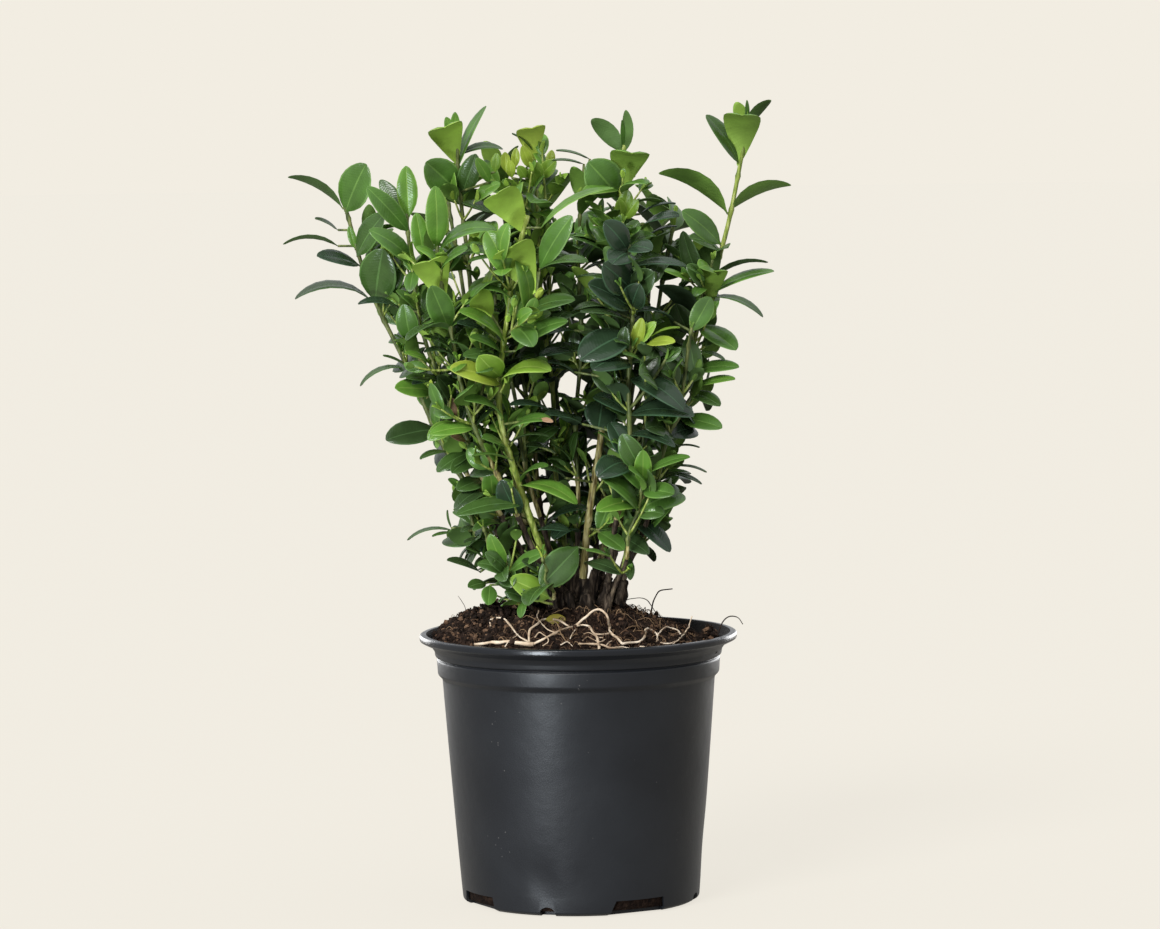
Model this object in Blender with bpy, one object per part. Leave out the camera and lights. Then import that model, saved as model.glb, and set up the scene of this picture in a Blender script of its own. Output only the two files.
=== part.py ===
"""A potted common boxwood: a young, many-stemmed shrub in a 13 cm nursery pot.

The pot stands on the XY plane with its axis on Z, so the origin is the centre of its flat underside.
-Y is the shrub's front. Lengths in the tables are in millimetres and become metres where a mesh is made.
"""

import math
from collections import namedtuple
from random import Random

import bmesh
import bpy
import numpy as np
from mathutils.bvhtree import BVHTree

for old in list(bpy.data.objects):
    bpy.data.objects.remove(old, do_unlink=True)

MM = 0.001

# Pot
RIM_RADIUS = 65.0
POT_HEIGHT = 110.0
BASE_RADIUS = 48.6
WALL_TOP_RADIUS = 55.9
WALL_TOP_Z = 91.8
WALL = 1.2
FLOOR = 1.6
POT_SEGMENTS = 36

# The pot's outside as radii and heights, from the middle of its underside to the lip
POT_OUTSIDE = [(0, 0), (BASE_RADIUS - 2.1, 0), (BASE_RADIUS, 1.2), (BASE_RADIUS + 0.6, 8),
               (WALL_TOP_RADIUS, WALL_TOP_Z), (57.7, 93.7), (58.1, 99.6), (57.2, 100.3), (58.7, 101.0),
               (59.0, 103.2), (60.4, 105.2), (RIM_RADIUS, 107.4), (RIM_RADIUS, 109.4),
               (RIM_RADIUS - 0.8, POT_HEIGHT)]
# Its inside, from the floor up
POT_INSIDE = [(0, FLOOR), (BASE_RADIUS - 1.0, FLOOR), (BASE_RADIUS + 0.6 - WALL, 8),
              (WALL_TOP_RADIUS - WALL, WALL_TOP_Z), (56.3, 94.1), (56.3, 99.6), (57.3, 101.6), (58.7, 104.2),
              (61.5, 109.6), (RIM_RADIUS - 2.4, POT_HEIGHT)]

# Drainage cut-outs round the foot of the pot, clockwise from the front as seen from above
WIDE_CUTOUT_DEG = 31.0
WIDE_CUTOUT_HEIGHT = 6.0
FIRST_WIDE_CUTOUT_DEG = 28.5
WIDE_CUTOUT_SLANT = 1.0
SMALL_CUTOUT_WIDTH = 6.4
SMALL_CUTOUT_HEIGHT = 3.8
SMALL_CUTOUT_SIDE = 0.4
SMALL_CUTOUT_STEPS = 6
CUTOUT_FROM = 43.5
CUTOUT_TO = 53.0

# Ground
GROUND_Z = 120.0
PLATEAU_RADIUS = 27.0
CLEAR = 0.3
SOIL_CLEAR = 0.4
SOIL_EDGE_Z = 105.0
SOIL_EDGE_FALL = 2.7
SOIL_EDGE_FRONT = 1.2
SOIL_LUMP = 0.7
SOIL_BULGE = 0.35
SOIL_RINGS = 6

# Round pieces are shaded smooth except over edges that turn more sharply than this
SHARP_EDGE = math.radians(35)

# Root crown: its profile as shares of the radius and heights over its flat underside
DOME_RADIUS = 18.0
DOME_SEGMENTS = 12
DOME_PROFILE = [(0, 0), (0.98, 0), (1.0, 1.8), (0.82, 4.6), (0.45, 6.8), (0, 7.4)]
DOME_ROUGHNESS = (0.93, 1.04)
DOME_LIFT = 0.5
STUB_ROOT = 2.5
STUB_TAPER = (1.7, 1.05)
DEAD_STUBS = [((7, -10, 123), (8, -13, 136), 1.6), ((13, -14, 122), (18, -17, 130), 1.8)]

# Stems
CROWN_STUB_LENGTH = 9.0
STEM_RINGS = 6
TEST_STEM_RINGS = 20
LEAFY_STEM_RINGS = 4
LEAFY_STEM_STEP = 26.0
MAIN_TAPER = 0.55
WAVE = 1.1
WAVE_TURNS = 14.0
WAVE_SHIFT = 1.7
LIMB_SIDES = 5
TWIG_SIDES = 3

# Side twigs: they start at the fifth leaf pair from the tip, and are longer further down
FIRST_SIDE_TWIG = 4
SIDE_TWIG_CHANCE = 0.30
SIDE_TWIG_RINGS = 3
SIDE_TWIG_LEAN = (36, 52)
SIDE_TWIG_ASIDE = 25.0
SIDE_TWIG_REACH = (0.75, 1.1)
SIDE_TWIG_SHORTEST = 18.0
SIDE_TWIG_LONGEST = 44.0
SIDE_TWIG_GAIN = 5.0
SIDE_TWIG_LIFT = 0.22
SIDE_TWIG_BARE = 5.0
TWIG_ABOVE_LEAF = 2.5
TWIG_ROOT = 3.0
TWIG_RADIUS = 0.75
TWIG_TIP_RADIUS = 0.5
TWIG_CLEAR = 0.2

# Leaves: sizes are for a full-grown leaf, and the shares are of its length
FULL_LEAF = 24.0
LEAF_WIDTH_SHARE = 0.62
LEAF_WIDEST = 0.52
LEAF_TIP_SHARE = 0.42
LEAF_THICKNESS = 1.0
LEAF_ROOT = 0.14
LEAF_SUNK = 0.3
LEAF_TRIES = 6
SMALLER_EACH_TRY = 0.08
LEAF_ASIDE = 12.0
ANGLE_SPREAD = 12.0
SIZE_SPREAD = (0.88, 1.1)
ARCH_SPREAD = (0.6, 1.3)
FOLD_SPREAD = (8, 26)
LOWEST_LEAF = 5.0
TIP_BUD = 1.8
SIDE_LEAF_SHARE = 0.92

# Leaves turn their faces to the open: up to the sky, and out from the shrub's axis
SKY_LIGHT = 0.25
SIDE_LIGHT = 0.9
LIGHT_SPREAD = (0.4, 1.6)
OPEN_RADIUS = 40.0

# Room: how much wider a leaf is tested than it is, and how far a mass may reach over the next one's space
TEST_WIDER = 1.2
SPACE_OVERLAP = 8.0
SEED = 7

# A shoot is one main stem from the ground to its tip. base and tip are places in millimetres, lean is how
# far the stem swings out before it rises, bow is its sideways swell at mid height, bare is the share of it
# that has no leaves, and turn is the direction in degrees of the leaf pair at its tip.
Shoot = namedtuple("Shoot", "name base tip lean bow bare radius leaf turn")
SHOOTS = [
    Shoot("left", (-14, -4), (-93, -12, 289), 0.5, (0, 0), 0.30, 1.6, 26, 10),
    Shoot("left_inner", (-9, -9), (-67, -24, 283), 0.95, (0, 0), 0.20, 1.5, 24, 60),
    Shoot("left_front", (-5, -13), (-54, -36, 285), 1.0, (-2, -4), 0.24, 1.4, 24, 20),
    Shoot("front", (-3, -9), (-18, -42, 282), 0.2, (-18, -8), 0.40, 1.8, 26, 0),
    Shoot("top_left", (-10, 3), (-47, 4, 309), 0.9, (0, 0), 0.20, 1.6, 25, 20),
    Shoot("top_middle", (-3, 5), (-16, 12, 304), 0.4, (0, 0), 0.20, 1.5, 20, 45),
    Shoot("top_right", (1, -7), (21, -6, 309), 0.2, (0, -5), 0.40, 1.9, 24, 15),
    Shoot("centre_right", (10, -11), (22, -42, 270), 0.5, (4, -4), 0.22, 1.5, 24, 70),
    Shoot("right", (13, -2), (71, -4, 314), 0.25, (1, 0), 0.30, 1.7, 26, 0),
    Shoot("right_front", (15, -8), (47, -34, 236), 0.5, (0, 0), 0.30, 1.3, 23, 50),
    Shoot("back_left", (-12, 9), (-52, 48, 286), 0.5, (0, 0), 0.16, 1.5, 23, 0),
    Shoot("far_left", (-15, 4), (-74, 26, 256), 0.5, (0, 0), 0.30, 1.4, 23, 40),
    Shoot("back", (-3, 13), (-12, 66, 288), 0.6, (0, 0), 0.16, 1.6, 23, 70),
    Shoot("back_right", (8, 11), (34, 54, 280), 0.5, (0, 0), 0.16, 1.5, 23, 20),
    Shoot("far_right", (14, 5), (54, 30, 254), 0.5, (0, 0), 0.24, 1.4, 23, 50),
    Shoot("middle", (4, 3), (42, 16, 281), 0.3, (0, 0), 0.20, 1.5, 23, 0),
    Shoot("inner_left", (-6, -3), (-34, -8, 266), 0.5, (0, 0), 0.0, 1.3, 25, 80),
    Shoot("inner_right", (9, -4), (34, 0, 234), 0.5, (0, 0), 0.0, 1.3, 25, 30),
    Shoot("inner_back", (-8, 10), (-30, 26, 298), 0.5, (0, 0), 0.0, 1.3, 25, 10),
    Shoot("inner_middle", (-1, 0), (3, 2, 288), 0.3, (0, 0), 0.0, 1.3, 25, 60),
    Shoot("inner_back_right", (6, 8), (16, 34, 256), 0.6, (0, 0), 0.0, 1.2, 25, 40),
    Shoot("low_left", (-22, -4), (-47, -8, 170), 0.6, (0, 0), 0.0, 1.1, 22, 0),
    Shoot("low_front_left", (-18, -14), (-38, -32, 157), 0.5, (0, 0), 0.0, 1.1, 22, 30),
    Shoot("low_front", (-8, -22), (-14, -40, 145), 0.3, (0, 0), 0.0, 1.0, 23, 60),
    Shoot("low_front_right", (12, -20), (27, -37, 178), 0.5, (0, 0), 0.0, 1.1, 23, 20),
    Shoot("low_right", (14, -6), (37, -10, 188), 0.5, (0, 0), 0.34, 1.1, 23, 50),
    Shoot("low_back_right", (12, 9), (36, 36, 186), 0.6, (0, 0), 0.24, 1.1, 23, 10),
    Shoot("low_back", (0, 21), (2, 46, 180), 0.6, (0, 0), 0.0, 1.1, 23, 40),
    Shoot("low_back_left", (-20, 11), (-42, 30, 184), 0.6, (0, 0), 0.0, 1.1, 23, 70),
]

# How far the crown may reach to the left, right, front and back at each height, read off its outline
REACH_Z = (120, 136, 150, 180, 210, 250, 290, 334)
REACH_LEFT = (48, 54, 56, 58, 78, 112, 118, 66)
REACH_RIGHT = (20, 26, 38, 46, 56, 68, 78, 78)
REACH_FRONT = (42, 48, 52, 58, 66, 78, 80, 56)
REACH_BACK = (36, 42, 52, 60, 70, 82, 86, 60)

# Leaf pairs counted from a twig's tip: the way to the next pair below, the leaf's share of full size, its
# angle from the twig and how far it arches over, in degrees. The last column holds for all older pairs.
PAIR_GAP = (6.0, 9.5, 13.0, 18.0, 21.0)
PAIR_SIZE = (0.60, 0.82, 0.96, 1.0, 1.0)
PAIR_ANGLE = (24, 36, 46, 54, 60)
PAIR_ARCH = (8, 20, 34, 42, 48)

UP = np.array((0.0, 0.0, 1.0))

Twig = namedtuple("Twig", "mass points radii name")
Leaf = namedtuple("Leaf", "twig root along face length arch fold age")


def unit(vector):
    return vector / np.linalg.norm(vector)


def across(tangent, degrees):
    """The direction square to a stem at this turn about it: 0 is towards +X and 90 towards +Y."""
    side = unit(np.array((1.0, 0.0, 0.0)) - tangent[0] * tangent)
    back = np.cross(tangent, side)
    turn = math.radians(degrees)
    return side * math.cos(turn) + back * math.sin(turn)


def tilted(tangent, outward, degrees):
    """The direction that leaves a stem at this angle from its tangent."""
    angle = math.radians(degrees)
    return tangent * math.cos(angle) + outward * math.sin(angle)


def shoot_line(shoot, count=41):
    """The main stem's centreline: even in z, out along a sine towards its tip, with a slight wave."""
    t = np.linspace(0, 1, count)
    spread = (1 - shoot.lean) * t + shoot.lean * np.sin(math.pi / 2 * t)
    wave = Random(shoot.name).uniform(0, 6)
    line = np.empty((count, 3))
    for axis in (0, 1):
        line[:, axis] = shoot.base[axis] + (shoot.tip[axis] - shoot.base[axis]) * spread
        line[:, axis] += shoot.bow[axis] * np.sin(math.pi * t)
        line[:, axis] += WAVE * np.sin(math.pi * t) * np.sin(WAVE_TURNS * t + wave + WAVE_SHIFT * axis)
    line[:, 2] = GROUND_Z + CLEAR + (shoot.tip[2] - GROUND_Z - CLEAR) * t
    return line


def on_root_crown(shoot):
    return math.hypot(*shoot.base) < DOME_RADIUS


def leafless(shoot, length):
    """How far up the main stem its foliage starts: past its bare share and its stub on the root crown."""
    return max(shoot.bare * length, (CROWN_STUB_LENGTH + CLEAR) * on_root_crown(shoot))


def lengths_along(line):
    steps = np.linalg.norm(np.diff(line, axis=0), axis=1)
    return np.concatenate(([0.0], np.cumsum(steps)))


def place_on(line, distance):
    """The point and the tangent at this distance along a line."""
    along = lengths_along(line)
    point = np.array([np.interp(distance, along, line[:, k]) for k in range(3)])
    ahead = np.array([np.interp(distance + 1.0, along, line[:, k]) for k in range(3)])
    behind = np.array([np.interp(distance - 1.0, along, line[:, k]) for k in range(3)])
    return point, unit(ahead - behind)


def part_of(line, start, end, count):
    """The stretch of a line between two distances, as count points."""
    along = lengths_along(line)
    wanted = np.linspace(start, end, count)
    return np.stack([np.interp(wanted, along, line[:, k]) for k in range(3)], axis=1)


def stem_part(shoot, start, end, count):
    """Points and radii of one stretch of a main stem, which tapers from the ground to its tip."""
    line = shoot_line(shoot)
    length = lengths_along(line)[-1]
    radii = shoot.radius * (1 - (1 - MAIN_TAPER) * np.linspace(start, end, count) / length)
    return part_of(line, start, end, count), radii


def within_reach(point):
    """Whether a point lies in the crown: an ellipse in plan, with its own half width on each side."""
    x, y, z = point
    half_x = np.interp(z, REACH_Z, REACH_LEFT if x < 0 else REACH_RIGHT)
    half_y = np.interp(z, REACH_Z, REACH_FRONT if y < 0 else REACH_BACK)
    return (x / half_x) ** 2 + (y / half_y) ** 2 < 1 and z < REACH_Z[-1]


def tube(points, radii, sides):
    """Vertices and faces of a closed, tapering tube round a line. At the ground it is cut level."""
    tangents = np.gradient(points, axis=0)
    if points[0][2] < GROUND_Z + 2 * CLEAR:
        tangents[0] = UP
    vertices = []
    for point, tangent, radius in zip(points, tangents, radii):
        for k in range(sides):
            vertices.append(point + across(unit(tangent), 360 * k / sides + 90) * radius)
    faces = [tuple(reversed(range(sides)))]
    for ring in range(len(points) - 1):
        for k in range(sides):
            a, b = ring * sides + k, ring * sides + (k + 1) % sides
            faces.append((a, b, b + sides, a + sides))
    last = (len(points) - 1) * sides
    faces.append(tuple(range(last, last + sides)))
    return np.array(vertices), faces


def midrib(leaf, share):
    """The point and upper normal at this share of a leaf's length, on the arc that it arches over."""
    bend = math.radians(leaf.arch) * share
    radius = leaf.length / math.radians(leaf.arch)
    point = leaf.root + leaf.along * math.sin(bend) * radius
    point = point - leaf.face * (1 - math.cos(bend)) * radius
    return point, leaf.face * math.cos(bend) + leaf.along * math.sin(bend)


def leaf_solid(leaf, start=0.0, sunk=0.0, wider=1.0, thickness=LEAF_THICKNESS):
    """Vertices and faces of an arched leaf with a blunt tip, 8 faces in all: its root, two corners at its
    widest, two at its tip, and a keel point underneath.

    start cuts off the root's end for a test, and sunk pushes the root back along the twig."""
    side = np.cross(leaf.face, leaf.along)
    root, _ = midrib(leaf, start)
    root = root - sunk * unit(leaf.along + leaf.face)
    middle, normal = midrib(leaf, LEAF_WIDEST)
    tip, _ = midrib(leaf, 1.0)
    across_middle = side * leaf.length * LEAF_WIDTH_SHARE / 2 * wider
    across_tip = across_middle * LEAF_TIP_SHARE
    upper = normal * thickness / 2
    vertices = (root, middle + across_middle + upper, tip + across_tip, tip - across_tip,
                middle - across_middle + upper, middle - upper)
    faces = ((0, 4, 1), (1, 4, 3), (1, 3, 2), (0, 1, 5), (1, 2, 5), (2, 3, 5), (3, 4, 5), (4, 0, 5))
    return np.array(vertices), faces


class Crown:
    """What has grown so far. A new twig or leaf that would touch it finds no room."""

    def __init__(self, stems):
        self.stems = stems
        self.centres = []
        self.sizes = []
        self.grown = []

    def shapes(self, whole, outer):
        trees = [BVHTree.FromPolygons(points.tolist(), faces) for points, faces in (whole, outer)]
        centre = (whole[0].max(axis=0) + whole[0].min(axis=0)) / 2
        return centre, np.linalg.norm(whole[0] - centre, axis=1).max(), trees

    def in_own_space(self, mass, point):
        """A mass's space is what lies nearer to its own stem than to the others, with an overlap."""
        gaps = np.linalg.norm(self.stems - point, axis=2).min(axis=1)
        return gaps[mass] < gaps.min() + SPACE_OVERLAP

    def has_room(self, mass, parent, whole, outer):
        """Between masses whole shapes are tested, and within one only outer parts, as roots meet there."""
        if whole[0][:, 2].min() < GROUND_Z + 2 * CLEAR:
            return False
        centre, size, trees = self.shapes(whole, outer)
        apart = np.linalg.norm(np.array(self.centres) - centre, axis=1)
        for index in np.flatnonzero(apart < size + np.array(self.sizes)):
            other_mass, other_twig, other_trees = self.grown[index]
            if other_twig is not None and other_twig == parent:
                continue
            same = int(other_mass == mass)
            if trees[same].overlap(other_trees[same]):
                return False
        return True

    def add(self, mass, twig, whole, outer):
        centre, size, trees = self.shapes(whole, outer)
        self.centres.append(centre)
        self.sizes.append(size)
        self.grown.append((mass, twig, trees))


def pairs_down(length, bare, size):
    """Each leaf pair's number from the tip and its distance from the tip, down to the bare stretch."""
    number = 0
    distance = TIP_BUD * size / FULL_LEAF
    while distance < length - bare:
        yield number, distance
        distance += PAIR_GAP[min(number, len(PAIR_GAP) - 1)] * size / FULL_LEAF
        number += 1


def test_twig(points, radii):
    whole = tube(points, radii + CLEAR + TWIG_CLEAR, TWIG_SIDES)
    outer_points = part_of(points, TWIG_ROOT, lengths_along(points)[-1], len(points))
    outer = tube(outer_points, radii + CLEAR, TWIG_SIDES)
    return whole, outer


def grow_side_twigs(crown, twigs, mass, shoot):
    """Side twigs leave the main stem just above its older leaf pairs, and turn up towards the light."""
    line = twigs[mass].points
    length = lengths_along(line)[-1]
    for number, distance in pairs_down(length, LOWEST_LEAF, shoot.leaf):
        for half_turn in (0, 180):
            name = f"{shoot.name} {number} {half_turn}"
            rng = Random(f"{SEED} {name}")
            chance = rng.random()
            share = rng.uniform(*SIDE_TWIG_REACH)
            lean = rng.uniform(*SIDE_TWIG_LEAN)
            aside = rng.uniform(-SIDE_TWIG_ASIDE, SIDE_TWIG_ASIDE)
            if number < FIRST_SIDE_TWIG or chance > SIDE_TWIG_CHANCE:
                continue
            start, tangent = place_on(line, length - distance + TWIG_ABOVE_LEAF)
            outward = across(tangent, shoot.turn + 90 * number + half_turn + aside)
            reach = SIDE_TWIG_SHORTEST + SIDE_TWIG_GAIN * (number - FIRST_SIDE_TWIG)
            reach = min(reach, SIDE_TWIG_LONGEST) * share
            steps = np.linspace(0, reach, SIDE_TWIG_RINGS)[:, None]
            points = start + tilted(tangent, outward, lean) * steps
            points = points + UP * SIDE_TWIG_LIFT * steps**2 / reach
            radii = np.linspace(TWIG_RADIUS, TWIG_TIP_RADIUS, SIDE_TWIG_RINGS)
            shapes = test_twig(points, radii)
            inside = within_reach(points[-1]) and crown.in_own_space(mass, points[-1])
            if inside and crown.has_room(mass, mass, *shapes):
                crown.add(mass, len(twigs), *shapes)
                twigs.append(Twig(mass, points, radii, name))


def test_leaf(leaf, start):
    return leaf_solid(leaf, start, wider=TEST_WIDER, thickness=LEAF_THICKNESS + 2 * CLEAR)


def leaf_beside(twig_number, place, tangent, turn, number, size, rng):
    """A leaf of one pair: steep and flat near the tip, and further down it stands out and arches over."""
    step = min(number, len(PAIR_SIZE) - 1)
    angle = PAIR_ANGLE[step] + rng.uniform(-ANGLE_SPREAD, ANGLE_SPREAD)
    along = tilted(tangent, across(tangent, turn), angle)
    outward = np.array((place[0], place[1], 0.0)) / max(OPEN_RADIUS, math.hypot(*place[:2]))
    light = (SKY_LIGHT * UP + SIDE_LIGHT * outward) * rng.uniform(*LIGHT_SPREAD)
    face = unit(tangent - along * np.dot(tangent, along)) + light
    face = unit(face - along * np.dot(face, along))
    length = size * PAIR_SIZE[step] * rng.uniform(*SIZE_SPREAD)
    arch = PAIR_ARCH[step] * rng.uniform(*ARCH_SPREAD)
    return Leaf(twig_number, place, along, face, length, arch, rng.uniform(*FOLD_SPREAD), number)


def grow_leaves(crown, leaves, number, twig, size, turn, bare, is_main):
    """Opposite pairs, each a quarter turn from the last. A leaf with no room tries other turns first."""
    length = lengths_along(twig.points)[-1]
    for pair, distance in pairs_down(length, bare, size):
        place, tangent = place_on(twig.points, length - distance)
        for half_turn in (0, 180):
            rng = Random(f"{SEED} {twig.name} leaf {pair} {half_turn}")
            for attempt in range(LEAF_TRIES):
                aside = rng.uniform(-LEAF_ASIDE, LEAF_ASIDE) * (1 + attempt)
                leaf_turn = turn + 90 * pair + half_turn + aside
                leaf_size = size * (1 - SMALLER_EACH_TRY * attempt)
                leaf = leaf_beside(number, place, tangent, leaf_turn, pair, leaf_size, rng)
                whole = test_leaf(leaf, 0.0)
                outer = test_leaf(leaf, LEAF_ROOT)
                tip, _ = midrib(leaf, 1.0)
                inside = is_main or (within_reach(tip) and crown.in_own_space(twig.mass, tip))
                if inside and crown.has_room(twig.mass, number, whole, outer):
                    crown.add(twig.mass, None, whole, outer)
                    leaves.append(leaf)
                    break


def grow_crown():
    """Main stems first, then side twigs, then the leaves, so that limbs always keep their way clear."""
    lines = [shoot_line(shoot) for shoot in SHOOTS]
    crown, twigs, leaves = Crown(np.array(lines)), [], []
    for mass, shoot in enumerate(SHOOTS):
        length = lengths_along(lines[mass])[-1]
        start = leafless(shoot, length)
        crown.add(mass, mass, *test_twig(*stem_part(shoot, 0, length, TEST_STEM_RINGS)))
        rings = LEAFY_STEM_RINGS + int((length - start) / LEAFY_STEM_STEP)
        points, radii = stem_part(shoot, start, length, rings)
        twigs.append(Twig(mass, points, radii, shoot.name))
    for mass, shoot in enumerate(SHOOTS):
        grow_side_twigs(crown, twigs, mass, shoot)
    for number, twig in enumerate(twigs):
        shoot = SHOOTS[twig.mass]
        is_main = number < len(SHOOTS)
        if is_main:
            grow_leaves(crown, leaves, number, twig, shoot.leaf, shoot.turn, LOWEST_LEAF, is_main)
        else:
            size = shoot.leaf * SIDE_LEAF_SHARE
            turn = Random(twig.name).uniform(0, 90)
            grow_leaves(crown, leaves, number, twig, size, turn, SIDE_TWIG_BARE, is_main)
    return twigs, leaves


def material(name, colour, roughness):
    made = bpy.data.materials.new(name)
    made.use_nodes = True
    shader = made.node_tree.nodes["Principled BSDF"]
    shader.inputs["Base Color"].default_value = (*colour, 1.0)
    shader.inputs["Roughness"].default_value = roughness
    return made


PLASTIC = material("black_plastic", (0.018, 0.021, 0.026), 0.42)
COMPOST = material("compost", (0.030, 0.018, 0.011), 0.95)
BARK = material("bark", (0.085, 0.055, 0.032), 0.85)
GREEN_STEM = material("green_stem", (0.19, 0.24, 0.06), 0.55)
FOLIAGE = material("foliage", (0.060, 0.140, 0.030), 0.45)


def solid(name, vertices, faces, coat, smooth=False):
    """One object from millimetre vertices, with its normals turned outward."""
    mesh = bpy.data.meshes.new(name)
    mesh.from_pydata([tuple(v) for v in np.asarray(vertices) * MM], [], faces)
    shape = bmesh.new()
    shape.from_mesh(mesh)
    bmesh.ops.recalc_face_normals(shape, faces=shape.faces)
    shape.to_mesh(mesh)
    shape.free()
    mesh.materials.append(coat)
    if smooth:
        mesh.shade_smooth()
        mesh.set_sharp_from_angle(angle=SHARP_EDGE)
    made = bpy.data.objects.new(name, mesh)
    bpy.context.scene.collection.objects.link(made)
    return made


def combined(base, operands, operation):
    """Joins the operands to the base, or cuts them from it, in one Boolean, applies it and removes them."""
    group = bpy.data.collections.new(base.name + "_operands")
    for operand in operands:
        bpy.context.scene.collection.objects.unlink(operand)
        group.objects.link(operand)
    bpy.context.scene.collection.children.link(group)
    step = base.modifiers.new("combine", "BOOLEAN")
    step.operation = operation
    step.operand_type = "COLLECTION"
    step.collection = group
    step.solver = "EXACT"
    graph = bpy.context.evaluated_depsgraph_get()
    mesh = bpy.data.meshes.new_from_object(base.evaluated_get(graph))
    mesh.name = base.name
    base.modifiers.clear()
    base.data = mesh
    for operand in operands:
        bpy.data.objects.remove(operand, do_unlink=True)
    bpy.data.collections.remove(group)
    return base


def revolved(rings):
    """Vertices and faces of a closed body from rings of radii and heights, with a pole at each end."""
    count = rings.shape[1]
    turn = np.arange(count) * 2 * math.pi / count
    vertices = [(0.0, 0.0, rings[0, :, 1].mean())]
    for ring in rings[1:-1]:
        vertices += list(zip(ring[:, 0] * np.sin(turn), -ring[:, 0] * np.cos(turn), ring[:, 1]))
    vertices.append((0.0, 0.0, rings[-1, :, 1].mean()))
    top = len(vertices) - 1
    faces = []
    for k in range(count):
        after = (k + 1) % count
        faces.append((0, 1 + k, 1 + after))
        faces.append((top, top - count + after, top - count + k))
        for first in range(1, top - count, count):
            faces.append((first + k, first + after, first + count + after, first + count + k))
    return vertices, faces


def make_pot():
    """A thin-walled nursery pot with two bands, a wide lip and eight drainage cut-outs round its foot."""
    profile = POT_OUTSIDE + POT_INSIDE[::-1]
    rings = np.repeat(np.array(profile)[:, None, :], POT_SEGMENTS, axis=1)
    pot = solid("pot", *revolved(rings), PLASTIC, smooth=True)
    half = BASE_RADIUS * math.sin(math.radians(WIDE_CUTOUT_DEG / 2))
    top = half - WIDE_CUTOUT_SLANT
    wide = [(-half, -1), (-top, WIDE_CUTOUT_HEIGHT), (top, WIDE_CUTOUT_HEIGHT), (half, -1)]
    small_half = SMALL_CUTOUT_WIDTH / 2
    arch = [(-small_half, -1)]
    for step in range(SMALL_CUTOUT_STEPS + 1):
        angle = math.pi * (1 - step / SMALL_CUTOUT_STEPS)
        rise = SMALL_CUTOUT_SIDE + (1 - SMALL_CUTOUT_SIDE) * math.sin(angle)
        arch.append((small_half * math.cos(angle), SMALL_CUTOUT_HEIGHT * rise))
    arch.append((small_half, -1))
    cutters = []
    for quarter in range(4):
        cutters.append(cutout(wide, FIRST_WIDE_CUTOUT_DEG + 90 * quarter))
        cutters.append(cutout(arch, FIRST_WIDE_CUTOUT_DEG + 45 + 90 * quarter))
    return combined(pot, cutters, "DIFFERENCE")


def cutout(section, degrees):
    """A prism of this section that runs out through the foot of the wall."""
    turn = math.radians(degrees)
    outward = np.array((math.sin(turn), -math.cos(turn), 0.0))
    aside = np.array((math.cos(turn), math.sin(turn), 0.0))
    count = len(section)
    vertices = []
    for radius in (CUTOUT_FROM, CUTOUT_TO):
        vertices += [outward * radius + aside * x + UP * z for x, z in section]
    faces = [tuple(range(count)), tuple(range(count, 2 * count))]
    for k in range(count):
        after = (k + 1) % count
        faces.append((k, after, count + after, count + k))
    return solid("cutout", vertices, faces, PLASTIC)


def make_soil():
    """The potting soil: it follows the pot's inside and mounds up to a level place round the stems."""
    rng = np.random.default_rng(SEED)
    turn = np.arange(POT_SEGMENTS) * 2 * math.pi / POT_SEGMENTS
    edge_z = SOIL_EDGE_Z - SOIL_EDGE_FALL * np.sin(turn) + SOIL_EDGE_FRONT * np.cos(turn)
    inside = np.array(POT_INSIDE[1:])
    levels = [inside[0, 1] + SOIL_CLEAR] + [z for z in inside[1:, 1] if z < edge_z.min()]
    rings = [np.stack([np.zeros(POT_SEGMENTS), np.full(POT_SEGMENTS, levels[0])], axis=1)]
    for level in levels + [edge_z]:
        level = np.broadcast_to(level, POT_SEGMENTS)
        radius = np.interp(level, inside[:, 1], inside[:, 0]) - SOIL_CLEAR
        rings.append(np.stack([radius, level], axis=1))
    edge_radius = rings[-1][:, 0]
    for share in np.linspace(0, 1, SOIL_RINGS)[1:]:
        radius = edge_radius + (PLATEAU_RADIUS - edge_radius) * share
        rise = share ** (1 + SOIL_BULGE * np.sin(turn))
        lumps = rng.uniform(-SOIL_LUMP, SOIL_LUMP, POT_SEGMENTS) * (share < 1)
        rings.append(np.stack([radius, edge_z + (GROUND_Z - edge_z) * rise + lumps], axis=1))
    level = np.full(POT_SEGMENTS, GROUND_Z)
    for radius in (PLATEAU_RADIUS / 2, 0):
        rings.append(np.stack([np.full(POT_SEGMENTS, radius), level], axis=1))
    return solid("soil", *revolved(np.array(rings)), COMPOST, smooth=True)


def make_root_crown():
    """The woody base of the older stems, cut level where it meets the soil, with two dead stubs on it."""
    rng = np.random.default_rng(SEED)
    rings = []
    for share, height in DOME_PROFILE:
        radius = DOME_RADIUS * share * rng.uniform(*DOME_ROUGHNESS, DOME_SEGMENTS)
        lift = rng.uniform(-DOME_LIFT, DOME_LIFT, DOME_SEGMENTS) * (height > 0)
        rings.append(np.stack([radius, GROUND_Z + CLEAR + height + lift], axis=1))
    dome = solid("root_crown", *revolved(np.array(rings)), BARK, smooth=True)
    stubs = []
    for shoot in SHOOTS:
        if on_root_crown(shoot):
            points = part_of(shoot_line(shoot), STUB_ROOT, CROWN_STUB_LENGTH, 2)
            radii = shoot.radius * np.array(STUB_TAPER)
            stubs.append(solid("stub", *tube(points, radii, LIMB_SIDES), BARK, smooth=True))
    for start, end, radius in DEAD_STUBS:
        points = np.array((start, end), dtype=float)
        radii = radius * np.array(STUB_TAPER)
        stubs.append(solid("stub", *tube(points, radii, LIMB_SIDES), BARK, smooth=True))
    return combined(dome, stubs, "UNION")


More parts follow.
